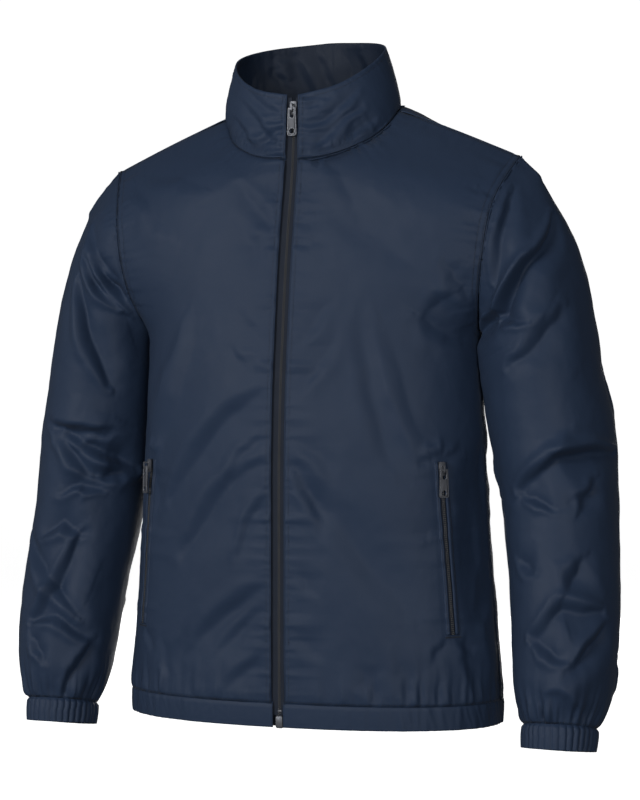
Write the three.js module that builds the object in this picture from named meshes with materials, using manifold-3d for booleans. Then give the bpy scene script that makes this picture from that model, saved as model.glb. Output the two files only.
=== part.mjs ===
// Zipped windbreaker jacket, standing open and filled out as when worn, sleeves hanging.
// Millimetres, +Z up, the front towards -Y and the wearer's left at +X.
// The origin is on the neck's centre line, level with the high points of the shoulders.
import * as THREE from 'three';
import { mergeVertices } from 'three/addons/utils/BufferGeometryUtils.js';
import Module from 'manifold-3d';

// Cloth thickness: one layer with its turnings, and the doubled bands
const clothWall = 1.5;
const bandWall = 2.2;
const seamGap = 0.3;
const underarmEase = 2.5;

// Levels
const neckFrontLevel = -64;
const underarmLevel = -258;
const hemSeamLevel = -663;
const hemLevel = -689;
const sleeveTubeLevel = -300;
const cuffSeamLevel = -682;
const cuffHeight = 24;

// Half openings of the zip's slot beside its teeth, on the wearer's left and right
const slotLeft = 5;
const slotRight = 7.3;

// Neck seam: a ring seen from above, with its height by angle from the centre front
const neckHalf = 103;
const neckFrontY = -91;
const neckBackY = 55;
const shoulderSeamAngle = 86;
const neckHeights = [
  { angle: 0, z: neckFrontLevel },
  { angle: 20, z: -61.5 },
  { angle: 40, z: -50 },
  { angle: 62, z: -33 },
  { angle: 75, z: -17 },
  { angle: 86, z: -5 },
  { angle: 103, z: 3 },
  { angle: 120, z: 6 },
  { angle: 140, z: 9 },
  { angle: 180, z: 12 },
];

// Top edge of the stand collar
const collarHalf = 90;
const collarFrontY = -88;
const collarBackY = 44;
const collarShift = -4;
const collarBulge = 2.5;
const collarHeights = [
  { angle: 0, z: 8 },
  { angle: 30, z: 17 },
  { angle: 46, z: 28 },
  { angle: 68, z: 46 },
  { angle: 90, z: 62 },
  { angle: 135, z: 80 },
  { angle: 180, z: 87 },
];

// Centre front and centre back lines, from the hem up
const centreLines = [
  { z: -689, front: -132, back: 94 },
  { z: -663, front: -133, back: 96 },
  { z: -600, front: -134, back: 95 },
  { z: -500, front: -134, back: 92 },
  { z: -400, front: -134, back: 90 },
  { z: -320, front: -130, back: 93 },
  { z: -258, front: -123, back: 98 },
  { z: -180, front: -113, back: 100 },
  { z: -121, front: -102, back: 95 },
  { z: -64, front: -91, back: 80 },
  { z: 8, front: -88, back: 56 },
  { z: 12, front: -88, back: 55 },
];

// Side seams below the underarm: half width of the body, and where the seam lies front to back
const sideSeams = [
  { z: -689, half: 220, y: -18 },
  { z: -663, half: 221, y: -18 },
  { z: -600, half: 216, y: -18 },
  { z: -500, half: 208, y: -20 },
  { z: -400, half: 203, y: -21 },
  { z: -320, half: 199, y: -21 },
  { z: -258, half: 196, y: -22 },
];
const sectionFullness = 0.62;

// Armholes from the underarm (rise 0) to the shoulder point (rise 1). A body row runs from
// the centre or neck to the armhole; lead and trail are its handles at those two ends.
const frontArmhole = [
  { rise: 0, x: 196, y: -22, z: -258, leadX: 118, leadY: 0, leadZ: 0, trailX: 0, trailY: -63, trailZ: 0 },
  { rise: 0.12, x: 201, y: -45, z: -243, leadX: 112, leadY: 0, leadZ: -4, trailX: -12, trailY: -52, trailZ: 4 },
  { rise: 0.3, x: 209, y: -70, z: -210, leadX: 104, leadY: -2, leadZ: -12, trailX: -34, trailY: -36, trailZ: 8 },
  { rise: 0.5, x: 216, y: -80, z: -168, leadX: 76, leadY: -9, leadZ: -34, trailX: -60, trailY: -24, trailZ: 24 },
  { rise: 0.7, x: 222, y: -75, z: -126, leadX: 50, leadY: -10, leadZ: -26, trailX: -52, trailY: -14, trailZ: 26 },
  { rise: 0.85, x: 230, y: -55, z: -94, leadX: 42, leadY: -4, leadZ: -16, trailX: -44, trailY: -8, trailZ: 20 },
  { rise: 1, x: 243, y: -22, z: -62, leadX: 44, leadY: -1, leadZ: -14, trailX: -44, trailY: 0, trailZ: 20 },
];
const backArmhole = [
  { rise: 0, x: 196, y: -22, z: -258, leadX: 121, leadY: 0, leadZ: 0, trailX: 0, trailY: 74, trailZ: 0 },
  { rise: 0.12, x: 200, y: 4, z: -246, leadX: 116, leadY: 1, leadZ: -2, trailX: -10, trailY: 64, trailZ: 4 },
  { rise: 0.3, x: 207, y: 36, z: -215, leadX: 110, leadY: 1.5, leadZ: -6, trailX: -30, trailY: 48, trailZ: 8 },
  { rise: 0.5, x: 215, y: 55, z: -172, leadX: 66, leadY: 16, leadZ: -50, trailX: -64, trailY: 40, trailZ: 50 },
  { rise: 0.68, x: 222, y: 54, z: -132, leadX: 50, leadY: 20, leadZ: -26, trailX: -55, trailY: 28, trailZ: 36 },
  { rise: 0.8, x: 228, y: 42, z: -106, leadX: 46, leadY: 16, leadZ: -18, trailX: -50, trailY: 16, trailZ: 28 },
  { rise: 0.9, x: 236, y: 14, z: -79, leadX: 46, leadY: 8, leadZ: -14, trailX: -46, trailY: 8, trailZ: 24 },
  { rise: 1, x: 243, y: -22, z: -62, leadX: 44, leadY: -1, leadZ: -14, trailX: -44, trailY: 0, trailZ: 20 },
];

// Sleeve rings from the cuff seam up: centre, half widths, and how the ring climbs to the front
const sleeveRings = [
  { z: -706, x: 297, y: -67, halfX: 39.5, halfY: 41, climb: 0.2 },
  { z: -682, x: 297.7, y: -62, halfX: 40.5, halfY: 42, climb: 0.2 },
  { z: -676, x: 298, y: -60.5, halfX: 45, halfY: 46, climb: 0.2 },
  { z: -662, x: 298.5, y: -57, halfX: 51, halfY: 53, climb: 0.19 },
  { z: -640, x: 299, y: -52, halfX: 55, halfY: 59, climb: 0.17 },
  { z: -610, x: 299, y: -46, halfX: 57.5, halfY: 62, climb: 0.15 },
  { z: -546, x: 295.8, y: -32, halfX: 60.5, halfY: 66, climb: 0.1 },
  { z: -507, x: 292, y: -22, halfX: 62, halfY: 68, climb: 0.06 },
  { z: -450, x: 286, y: -10, halfX: 65, halfY: 73, climb: 0.02 },
  { z: -410, x: 281, y: -5, halfX: 67.5, halfY: 77, climb: 0 },
  { z: -364, x: 276.5, y: -3, halfX: 69, halfY: 79, climb: 0 },
  { z: -300, x: 267, y: -8, halfX: 64, halfY: 77, climb: 0 },
];
const capHandle = 0.36;
const capDropInside = 0.43;
const capDropOutside = 0.62;
const capSway = 0.12;

// Grid counts
const lowerRows = 12;
const centreRows = 5;
const neckRows = 6;
const panelColumns = 12;
const capRows = 8;
const tubeRows = 15;
const collarRows = 4;

// Folds of the panels, as troughs (negative depth) and ridges. On the body a place is
// (across, level) in mm; on a sleeve across is the angle round the arm in degrees,
// 0 towards the body, 90 at the front and 180 outside.
const leftFrontFolds = [
  { fromX: 151, fromZ: -240, toX: 192, toZ: -285, width: 16, depth: -3 },
  { fromX: 87, fromZ: -255, toX: 124, toZ: -400, width: 20, depth: -3.5 },
  { fromX: 118, fromZ: -262, toX: 155, toZ: -374, width: 18, depth: 2.5 },
  { fromX: 50, fromZ: -441, toX: 140, toZ: -562, width: 22, depth: -4 },
  { fromX: 62, fromZ: -500, toX: 120, toZ: -600, width: 20, depth: 2.5 },
  { fromX: 196, fromZ: -420, toX: 205, toZ: -575, width: 14, depth: -4 },
  { fromX: 40, fromZ: -330, toX: 85, toZ: -300, width: 18, depth: -2.5 },
];
const rightFrontFolds = [
  { fromX: 24, fromZ: -326, toX: 138, toZ: -443, width: 18, depth: -4 },
  { fromX: 24, fromZ: -400, toX: 118, toZ: -503, width: 18, depth: -4.5 },
  { fromX: 24, fromZ: -534, toX: 104, toZ: -603, width: 17, depth: -4 },
  { fromX: 125, fromZ: -247, toX: 160, toZ: -354, width: 22, depth: 4 },
  { fromX: 60, fromZ: -320, toX: 130, toZ: -390, width: 20, depth: 3 },
  { fromX: 70, fromZ: -115, toX: 120, toZ: -200, width: 22, depth: 2.5 },
];
const backFolds = [
  { fromX: 185, fromZ: -265, toX: 70, toZ: -345, width: 20, depth: -4 },
  { fromX: 178, fromZ: -330, toX: 60, toZ: -400, width: 20, depth: 3.5 },
  { fromX: 190, fromZ: -395, toX: 40, toZ: -460, width: 20, depth: -4.5 },
  { fromX: -180, fromZ: -270, toX: -60, toZ: -330, width: 20, depth: -4 },
  { fromX: -185, fromZ: -350, toX: -50, toZ: -425, width: 22, depth: -4 },
  { fromX: -170, fromZ: -430, toX: -40, toZ: -480, width: 20, depth: 3 },
  { fromX: -150, fromZ: -560, toX: 20, toZ: -530, width: 22, depth: -3.5 },
  { fromX: 150, fromZ: -190, toX: 60, toZ: -140, width: 24, depth: -3 },
  { fromX: -150, fromZ: -180, toX: -55, toZ: -150, width: 24, depth: -2.5 },
];
const leftSleeveFolds = [
  { fromX: 150, fromZ: -205, toX: 70, toZ: -240, width: 16, depth: -4 },
  { fromX: 172, fromZ: -388, toX: 104, toZ: -394, width: 15, depth: -5 },
  { fromX: 104, fromZ: -394, toX: 66, toZ: -436, width: 15, depth: -5.5 },
  { fromX: 116, fromZ: -366, toX: 80, toZ: -412, width: 14, depth: 4 },
  { fromX: 150, fromZ: -560, toX: 80, toZ: -590, width: 15, depth: -4 },
  { fromX: 90, fromZ: -600, toX: 140, toZ: -632, width: 14, depth: 3 },
  { fromX: 300, fromZ: -400, toX: 220, toZ: -430, width: 18, depth: -4 },
  { fromX: 310, fromZ: -470, toX: 240, toZ: -450, width: 16, depth: 3 },
];
const rightSleeveFolds = [
  { fromX: 130, fromZ: -180, toX: 40, toZ: -232, width: 16, depth: -5 },
  { fromX: 118, fromZ: -362, toX: 60, toZ: -372, width: 13, depth: 4 },
  { fromX: 112, fromZ: -378, toX: 20, toZ: -410, width: 15, depth: -6 },
  { fromX: 118, fromZ: -491, toX: 60, toZ: -488, width: 14, depth: -4 },
  { fromX: 120, fromZ: -500, toX: 45, toZ: -590, width: 14, depth: 4 },
  { fromX: 60, fromZ: -498, toX: 118, toZ: -594, width: 14, depth: -4 },
  { fromX: 300, fromZ: -390, toX: 225, toZ: -425, width: 18, depth: -4 },
  { fromX: 320, fromZ: -560, toX: 250, toZ: -530, width: 16, depth: 3 },
];
const mmPerDegree = 1.2;
const foldEndStrength = 0.4;

// Elastic bands: gathers round the hem away from the zip, and pleats round each cuff
const hemColumns = 136;
const hemGatherDepth = 2.2;
const hemGatherStart = 0.1;
const bandStep = 0.002;
const cuffPleats = 31;
const cuffPleatDepth = 2.4;
const cuffPleatSink = 0.4;
const columnsPerPleat = 3;

// Front zip
const tapeDepth = 3.3;
const tapeHalf = 10.5;
const tapeWall = 0.9;
const tapeParting = 2.4;
const coilHalf = 2.9;
const coilWall = 1.5;
const boxHeight = 13;
const boxHalf = 4;
const boxTaper = 0.8;
const boxEdge = 1;
const boxSink = 0.4;
const zipTop = 6;
const frontSliderLevel = -6;

// Slider and pull tab
const sliderLength = 15;
const sliderHalf = 4;
const sliderWaist = 0.72;
const sliderShoulder = 0.35;
const sliderCrown = 0.5;
const plateWall = 2.2;
const plateGap = 0.3;
const backPlateWall = 1.4;
const postWidth = 2;
const postLength = 5;
const postLevel = 4.5;
const bailHalfWidth = 1.1;
const bailLength = 8.8;
const bailHeight = 6.2;
const bailWall = 1.4;
const bailPost = 1.8;
const bailCorner = 1.6;
const bailFoot = 0.6;
const bailRoot = 0.5;
const barHeight = 3.6;
const barDrop = 1.2;
const tabHalf = 5.5;
const tabLength = 31;
const tabWall = 1.6;
const tabSlotHalf = 2.5;
const tabSlotLength = 8;
const tabHoleRadius = 3.1;
const tabHoleEdge = 2;
const tabCorner = 2.6;
const tabNarrowing = 1;

// Side pockets: a slanted zip between two narrow welts on each front
const pocketTopX = 171;
const pocketTopZ = -398;
const pocketEndX = 184;
const pocketEndZ = -586;
const weltHalf = 8;
const weltSlotHalf = 3.2;
const weltWall = 1.3;
const pocketCoilHalf = 2.6;
const pocketCoilWall = 0.8;
const surfaceLift = 0.45;
const pocketSteps = 14;
const pocketReach = 6.4;

// Colours as sRGB
const navy = { color: 0x263245, roughness: 0.62, metalness: 0 };
const charcoal = { color: 0x1d2024, roughness: 0.7, metalness: 0 };
const gunmetal = { color: 0x6d7075, roughness: 0.35, metalness: 0.85 };

const { lerp, clamp, degToRad } = THREE.MathUtils;
const vec = (x, y, z) => new THREE.Vector3(x, y, z);
const wasm = await Module();
wasm.setup();

// Smooth reading of a table

function slopeAt(rows, by, column, i) {
  const before = rows[Math.max(i - 1, 0)];
  const after = rows[Math.min(i + 1, rows.length - 1)];
  return (after[column] - before[column]) / (after[by] - before[by]);
}

function readColumn(rows, by, column, value) {
  let i = 0;
  while (i < rows.length - 2 && value > rows[i + 1][by]) i += 1;
  const low = rows[i];
  const high = rows[i + 1];
  const span = high[by] - low[by];
  const t = clamp((value - low[by]) / span, 0, 1);
  const rise = high[column] - low[column];
  const start = slopeAt(rows, by, column, i) * span;
  const end = slopeAt(rows, by, column, i + 1) * span;
  const bend = 3 * rise - 2 * start - end + t * (start + end - 2 * rise);
  return low[column] + t * (start + t * bend);
}

function bezierPoint([a, b, c, d], t) {
  const s = 1 - t;
  return vec(0, 0, 0)
    .addScaledVector(a, s * s * s)
    .addScaledVector(b, 3 * s * s * t)
    .addScaledVector(c, 3 * s * t * t)
    .addScaledVector(d, t * t * t);
}

// Rings of the neck

function ringPoint(angle, half, frontY, backY, heights) {
  const turn = degToRad(angle);
  const middle = (frontY + backY) / 2;
  const reach = (backY - frontY) / 2;
  const height = readColumn(heights, 'angle', 'z', Math.min(angle, 360 - angle));
  return vec(half * Math.sin(turn), middle - reach * Math.cos(turn), height);
}

const neckPoint = (angle) => ringPoint(angle, neckHalf, neckFrontY, neckBackY, neckHeights);

function collarTopPoint(angle) {
  const point = ringPoint(angle, collarHalf, collarFrontY, collarBackY, collarHeights);
  point.x += collarShift * Math.sin(degToRad(angle)) ** 2;
  return point;
}

const slotAngle = (slot) => THREE.MathUtils.radToDeg(Math.asin(slot / neckHalf));

// Body rows: four control points from the centre or the neck to the side seam or the armhole

const frontPart = (slot) => ({
  middle: 'front',
  slot,
  cornerZ: neckFrontLevel,
  armhole: frontArmhole,
  neckStart: slotAngle(slot),
});
const backPart = { middle: 'back', slot: 0, cornerZ: 12, armhole: backArmhole, neckStart: 180 };
const upperRows = centreRows + neckRows;

function lowerSection(part, z) {
  const half = readColumn(sideSeams, 'z', 'half', z);
  const side = readColumn(sideSeams, 'z', 'y', z);
  const middle = readColumn(centreLines, 'z', part.middle, z);
  return [
    vec(part.slot, middle, z),
    vec(lerp(part.slot, half, sectionFullness), middle, z),
    vec(half, lerp(side, middle, sectionFullness), z),
    vec(half, side, z),
  ];
}

function innerEdge(part, row) {
  if (row < centreRows) {
    const z = lerp(underarmLevel, part.cornerZ, row / centreRows);
    return vec(part.slot, readColumn(centreLines, 'z', part.middle, z), z);
  }
  return neckPoint(lerp(part.neckStart, shoulderSeamAngle, (row - centreRows) / neckRows));
}

function upperSection(part, row) {
  const read = (column) => readColumn(part.armhole, 'rise', column, row / upperRows);
  const inner = innerEdge(part, row);
  const outer = vec(read('x'), read('y'), read('z'));
  const lead = vec(read('leadX'), read('leadY'), read('leadZ')).add(inner);
  const trail = vec(read('trailX'), read('trailY'), read('trailZ')).add(outer);
  return [inner, lead, trail, outer];
}

// Surfaces as grids of points: rows go up, columns go so that the outside faces out

const panelRow = (section, columns) =>
  Array.from({ length: columns + 1 }, (_, column) => bezierPoint(section, column / columns));

function halfPanel(part) {
  const grid = [];
  for (let row = 0; row < lowerRows; row += 1) {
    const z = lerp(hemSeamLevel, underarmLevel, row / lowerRows);
    grid.push(panelRow(lowerSection(part, z), panelColumns));
  }
  for (let row = 0; row <= upperRows; row += 1) {
    grid.push(panelRow(upperSection(part, row), panelColumns));
  }
  return grid;
}

const reversed = (grid) => grid.map((row) => [...row].reverse());
const mirrored = (grid) => reversed(grid.map((row) => row.map((p) => vec(-p.x, p.y, p.z))));

function sleeveRingPoint(z, angle) {
  const read = (column) => readColumn(sleeveRings, 'z', column, z);
  const turn = degToRad(angle);
  const forward = Math.sin(turn) * read('halfY');
  const climb = forward * read('climb');
  return vec(read('x') - Math.cos(turn) * read('halfX'), read('y') - forward, z + climb);
}

// Column of the sleeve head: it leaves the armhole outwards and turns down into the tube
function capCurve(start, angle) {
  const end = sleeveRingPoint(sleeveTubeLevel, angle);
  const over = (1 - Math.cos(degToRad(angle))) / 2;
  const down = lerp(capDropInside, capDropOutside, over);
  const out = Math.sqrt(1 - down * down);
  const leave = vec(out, -capSway * Math.sin(degToRad(angle)), -down).normalize();
  const arrive = vec(-capSway * over, 0, 1).normalize();
  const reach = start.distanceTo(end) * capHandle;
  const afterStart = start.clone().addScaledVector(leave, reach);
  const beforeEnd = end.clone().addScaledVector(arrive, reach);
  return [start, afterStart, beforeEnd, end];
}

function sleeveGrid(armhole) {
  const angles = armhole.map((_, i) => (360 * i) / armhole.length);
  const grid = [];
  for (let row = 0; row < tubeRows; row += 1) {
    const z = lerp(cuffSeamLevel, sleeveTubeLevel, row / tubeRows);
    grid.push(angles.map((angle) => sleeveRingPoint(z, angle)));
  }
  for (let row = 0; row <= capRows; row += 1) {
    const t = 1 - row / capRows;
    grid.push(armhole.map((start, i) => bezierPoint(capCurve(start, angles[i]), t)));
  }
  return grid.map((row) => [...row, row[0].clone()]);
}

// Folds

function foldHeight(folds, across, level, scale) {
  let height = 0;
  for (const fold of folds) {
    const runX = (fold.toX - fold.fromX) * scale;
    const runZ = fold.toZ - fold.fromZ;
    const offX = (across - fold.fromX) * scale;
    const offZ = level - fold.fromZ;
    const t = clamp((offX * runX + offZ * runZ) / (runX * runX + runZ * runZ), 0, 1);
    const off = Math.hypot(offX - t * runX, offZ - t * runZ);
    const fade = lerp(foldEndStrength, 1, Math.sin(Math.PI * t));
    height += fold.depth * fade * Math.exp(-((off / fold.width) ** 2));
  }
  return height;
}

const pointKey = (p) => [p.x, p.y, p.z].map((value) => Math.round(value * 1000) + 0).join();

// Mean outward direction at each point, shared by all grids that meet there
function gatherNormals(grids) {
  const normals = new Map();
  const add = (point, normal) => {
    const key = pointKey(point);
    if (!normals.has(key)) normals.set(key, vec(0, 0, 0));
    normals.get(key).add(normal);
  };
  for (const grid of grids) {
    for (const corners of gridTriangles(grid)) {
      corners.forEach((point, i) => {
        const next = corners[(i + 1) % 3].clone().sub(point);
        const last = corners[(i + 2) % 3].clone().sub(point);
        add(point, next.clone().cross(last).normalize().multiplyScalar(next.angleTo(last)));
      });
    }
  }
  normals.forEach((normal) => normal.normalize());
  return normals;
}

function gridTriangles(grid) {
  const triangles = [];
  for (let row = 0; row + 1 < grid.length; row += 1) {
    for (let column = 0; column + 1 < grid[row].length; column += 1) {
      const a = grid[row][column];
      const b = grid[row][column + 1];
      const c = grid[row + 1][column + 1];
      const d = grid[row + 1][column];
      triangles.push([a, b, c], [a, c, d]);
    }
  }
  return triangles;
}

const smoothStep = (value) => value * value * (3 - 2 * value);

// Folds die out within two cells of the grid's edges that are held by seams
function foldGrid(grid, normals, heightAt, closed) {
  const lastRow = grid.length - 1;
  const lastColumn = grid[0].length - 1;
  return grid.map((row, r) => row.map((point, c) => {
    const inRows = Math.min(r, lastRow - r);
    const inColumns = closed ? lastColumn : Math.min(c, lastColumn - c);
    const hold = smoothStep(clamp(Math.min(inRows, inColumns) / 2, 0, 1));
    return point.clone().addScaledVector(normals.get(pointKey(point)), hold * heightAt(point, c));
  }));
}

// Walls

// Moves the points of a seam into the panel by half of the gap, square to the seam
function trimShifts(path, inward, normals, shifts) {
  path.forEach((point, i) => {
    const before = path[Math.max(i - 1, 0)];
    const after = path[Math.min(i + 1, path.length - 1)];
    const side = normals.get(pointKey(point)).clone().cross(after.clone().sub(before)).normalize();
    if (side.dot(inward[i].clone().sub(point)) < 0) side.negate();
    const key = pointKey(point);
    shifts.set(key, side.multiplyScalar(seamGap / 2).add(shifts.get(key) ?? vec(0, 0, 0)));
  });
}

const columnOf = (grid, column, from, to) => grid.slice(from, to + 1).map((row) => row.at(column));

// Shell of one piece: its grids moved to the seams, doubled by the wall and closed at the rims
function shellGeometry(grids, normals, shifts, wall) {
  const keys = new Map();
  const outer = [];
  const inner = [];
  const indexOf = (point) => {
    const key = pointKey(point);
    if (!keys.has(key)) {
      const place = point.clone().add(shifts.get(key) ?? vec(0, 0, 0));
      keys.set(key, outer.length);
      outer.push(place);
      inner.push(place.clone().addScaledVector(normals.get(key), -wall));
    }
    return keys.get(key);
  };
  const faces = grids.flatMap(gridTriangles).map((triangle) => triangle.map(indexOf));
  return closedShell(outer, inner, faces);
}

function closedShell(outer, inner, faces) {
  const count = outer.length;
  const edges = new Set(faces.flatMap(([a, b, c]) => [`${a},${b}`, `${b},${c}`, `${c},${a}`]));
  const all = [];
  for (const [a, b, c] of faces) {
    all.push(a, b, c, a + count, c + count, b + count);
    for (const [from, to] of [[a, b], [b, c], [c, a]]) {
      if (edges.has(`${to},${from}`)) continue;
      all.push(to, from, from + count, to, from + count, to + count);
    }
  }
  return indexedGeometry([...outer, ...inner], all);
}

function indexedGeometry(points, index) {
  const geometry = new THREE.BufferGeometry();
  const flat = points.flatMap((p) => [p.x, p.y, p.z]);
  geometry.setAttribute('position', new THREE.Float32BufferAttribute(flat, 3));
  geometry.setIndex(index);
  return geometry;
}

// Prism through rings of points, with flat ends
function loft(rings) {
  const sides = rings[0].length;
  const points = rings.flat();
  const faces = [];
  for (let ring = 0; ring + 1 < rings.length; ring += 1) {
    for (let i = 0; i < sides; i += 1) {
      const a = ring * sides + i;
      const b = ring * sides + ((i + 1) % sides);
      faces.push(a, b, b + sides, a, b + sides, a + sides);
    }
  }
  const last = (rings.length - 1) * sides;
  for (let i = 1; i + 1 < sides; i += 1) {
    faces.push(0, i + 1, i, last, last + i, last + i + 1);
  }
  return facingOut(indexedGeometry(points, faces));
}

function facingOut(geometry) {
  const place = geometry.attributes.position;
  const index = Array.from(geometry.index.array);
  const corner = (i) => new THREE.Vector3().fromBufferAttribute(place, index[i]);
  let volume = 0;
  for (let i = 0; i < index.length; i += 3) volume += corner(i).dot(corner(i + 1).cross(corner(i + 2)));
  if (volume < 0) geometry.setIndex(index.reverse());
  return geometry;
}

// Solids for joining and cutting

function toSolid(geometry) {
  const bare = geometry.clone();
  bare.deleteAttribute('normal');
  bare.deleteAttribute('uv');
  const merged = mergeVertices(bare, 1e-4);
  return new wasm.Manifold(new wasm.Mesh({
    numProp: 3,
    vertProperties: new Float32Array(merged.attributes.position.array),
    triVerts: new Uint32Array(merged.index.array),
  }));
}

function fromSolid(solid) {
  const mesh = solid.getMesh();
  const geometry = new THREE.BufferGeometry();
  geometry.setAttribute('position', new THREE.BufferAttribute(new Float32Array(mesh.vertProperties), 3));
  geometry.setIndex(new THREE.BufferAttribute(new Uint32Array(mesh.triVerts), 1));
  return geometry;
}

const group = new THREE.Group();

function addPiece(name, geometry, finish) {
  const mesh = new THREE.Mesh(geometry, new THREE.MeshStandardMaterial(finish));
  mesh.name = name;
  group.add(mesh);
  return mesh;
}

// Fronts, back, sleeves and collar

const flatBody = {
  frontLeft: halfPanel(frontPart(slotLeft)),
  frontRight: mirrored(halfPanel(frontPart(slotRight))),
  backLeft: reversed(halfPanel(backPart)),
  backRight: mirrored(reversed(halfPanel(backPart))),
};

function armholeLoop() {
  const front = columnOf(flatBody.frontLeft, -1, lowerRows, lowerRows + upperRows);
  const back = columnOf(flatBody.backLeft, 0, lowerRows + 1, lowerRows + upperRows - 1);
  return [...front, ...back.reverse()];
}

const flatSleeveLeft = sleeveGrid(armholeLoop());
const flatSleeveRight = mirrored(flatSleeveLeft);

function collarGrid() {
  const half = (slot) => {
    const angles = [];
    for (let i = 0; i <= neckRows; i += 1) angles.push(lerp(slotAngle(slot), shoulderSeamAngle, i / neckRows));
    for (let i = 1; i <= neckRows; i += 1) angles.push(lerp(shoulderSeamAngle, 180, i / neckRows));
    return angles;
  };
  const right = half(slotRight).slice(0, -1).reverse();
  const angles = [...half(slotLeft), ...right.map((angle) => 360 - angle)];
  const grid = [];
  for (let row = 0; row <= collarRows; row += 1) {
    grid.push(angles.map((angle) => collarPoint(angle, row / collarRows)));
  }
  return grid;
}

function collarPoint(angle, up) {
  const point = neckPoint(angle).lerp(collarTopPoint(angle), up);
  const swell = collarBulge * Math.sin(Math.PI * up) * Math.sin(degToRad(angle)) ** 2;
  point.x += swell * Math.sign(point.x);
  return point;
}

const flatCollar = collarGrid();
const flatNormals = gatherNormals([...Object.values(flatBody), flatSleeveLeft, flatSleeveRight, flatCollar]);

const bodyFold = (folds, side) => (point) => foldHeight(folds, point.x * side, point.z, 1);
const sleeveFold = (folds, turned) => (point, column) => {
  const columns = flatSleeveLeft[0].length - 1;
  const angle = (360 * ((turned ? columns - column : column) % columns)) / columns;
  const heightAt = (across) => foldHeight(folds, across, point.z, mmPerDegree);
  return heightAt(angle) + heightAt(angle - 360);
};

const body = {
  frontLeft: foldGrid(flatBody.frontLeft, flatNormals, bodyFold(leftFrontFolds, 1), false),
  frontRight: foldGrid(flatBody.frontRight, flatNormals, bodyFold(rightFrontFolds, -1), false),
  backLeft: foldGrid(flatBody.backLeft, flatNormals, bodyFold(backFolds, 1), false),
  backRight: foldGrid(flatBody.backRight, flatNormals, bodyFold(backFolds, 1), false),
};
const sleeveLeft = foldGrid(flatSleeveLeft, flatNormals, sleeveFold(leftSleeveFolds, false), true);
const sleeveRight = foldGrid(flatSleeveRight, flatNormals, sleeveFold(rightSleeveFolds, true), true);
const normals = gatherNormals([...Object.values(body), sleeveLeft, sleeveRight, flatCollar]);

// Seam edges of a front or half back whose outer column is `outer` and inner column `inner`
function panelShifts(grid, outer, shifts) {
  const inner = outer === 0 ? -1 : 0;
  const beside = (column) => (column === 0 ? 1 : -2);
  const top = grid.length - 1;
  const corner = lowerRows + centreRows;
  const trimColumn = (column, from, to) => {
    trimShifts(columnOf(grid, column, from, to), columnOf(grid, beside(column), from, to), normals, shifts);
  };
  trimColumn(outer, 0, lowerRows);
  trimColumn(outer, lowerRows, top);
  trimColumn(inner, corner, top);
  trimShifts(grid[top], grid[top - 1], normals, shifts);
  trimShifts(grid[0], grid[1], normals, shifts);
  return shifts;
}

function addFront(name, grid, outer) {
  const shifts = panelShifts(grid, outer, new Map());
  addPiece(name, shellGeometry([grid], normals, shifts, clothWall), navy);
}

function addBack() {
  const shifts = panelShifts(body.backRight, -1, panelShifts(body.backLeft, 0, new Map()));
  addPiece('back', shellGeometry([body.backLeft, body.backRight], normals, shifts, clothWall), navy);
}

function addSleeve(name, grid) {
  const shifts = new Map();
  const top = grid.length - 1;
  const ring = grid[top];
  const below = grid[top - 1];
  ring.slice(0, -1).forEach((point, i) => {
    const around = [ring.at(i === 0 ? -2 : i - 1), point, ring[i + 1]];
    const one = new Map();
    trimShifts(around, [below[i], below[i], below[i]], normals, one);
    const nearUnderarm = ((1 + Math.cos((2 * Math.PI * i) / (ring.length - 1))) / 2) ** 4;
    shifts.set(pointKey(point), one.get(pointKey(point)).multiplyScalar(1 + underarmEase * nearUnderarm));
  });
  addPiece(name, shellGeometry([grid], normals, shifts, clothWall), navy);
}

function addCollar() {
  const shifts = new Map();
  trimShifts(flatCollar[0], flatCollar[1], normals, shifts);
  addPiece('collar', shellGeometry([flatCollar], normals, shifts, bandWall), navy);
}

addFront('front_left', body.frontLeft, -1);
addFront('front_right', body.frontRight, 0);
addBack();
addSleeve('sleeve_left', sleeveLeft);
addSleeve('sleeve_right', sleeveRight);
addCollar();

// Bands: the outside is raised in pleats over a plain inside

function bandGeometry(columns, levels, placeAt, outwardAt, raiseAt, closed) {
  const outer = [];
  const inner = [];
  const stride = closed ? columns : columns + 1;
  for (const level of levels) {
    for (let column = 0; column < stride; column += 1) {
      const place = placeAt(column, level);
      const outward = outwardAt(column, level);
      outer.push(place.clone().addScaledVector(outward, raiseAt(column)));
      inner.push(place.addScaledVector(outward, -bandWall));
    }
  }
  const faces = [];
  for (let row = 0; row + 1 < levels.length; row += 1) {
    for (let column = 0; column < columns; column += 1) {
      const a = row * stride + column;
      const b = row * stride + ((column + 1) % (closed ? columns : columns + 2));
      faces.push([a, b, b + stride], [a, b + stride, a + stride]);
    }
  }
  return closedShell(outer, inner, faces);
}

// Round the body from the left edge of the zip's slot (0) by the back (0.5) to its right edge (1)
function aroundBody(share, z) {
  const quarter = Math.min(Math.floor(share * 4), 3);
  const along = share * 4 - quarter;
  const part = [frontPart(slotLeft), backPart, backPart, frontPart(slotRight)][quarter];
  const fromMiddle = quarter % 2 === 0 ? along : 1 - along;
  const point = bezierPoint(lowerSection(part, z), fromMiddle);
  if (quarter >= 2) point.x *= -1;
  return point;
}

function outwardOfBody(share, z) {
  const ahead = aroundBody(clamp(share + bandStep, 0, 1), z);
  const behind = aroundBody(clamp(share - bandStep, 0, 1), z);
  const along = ahead.sub(behind).normalize();
  return vec(along.y, -along.x, 0).normalize();
}

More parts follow.
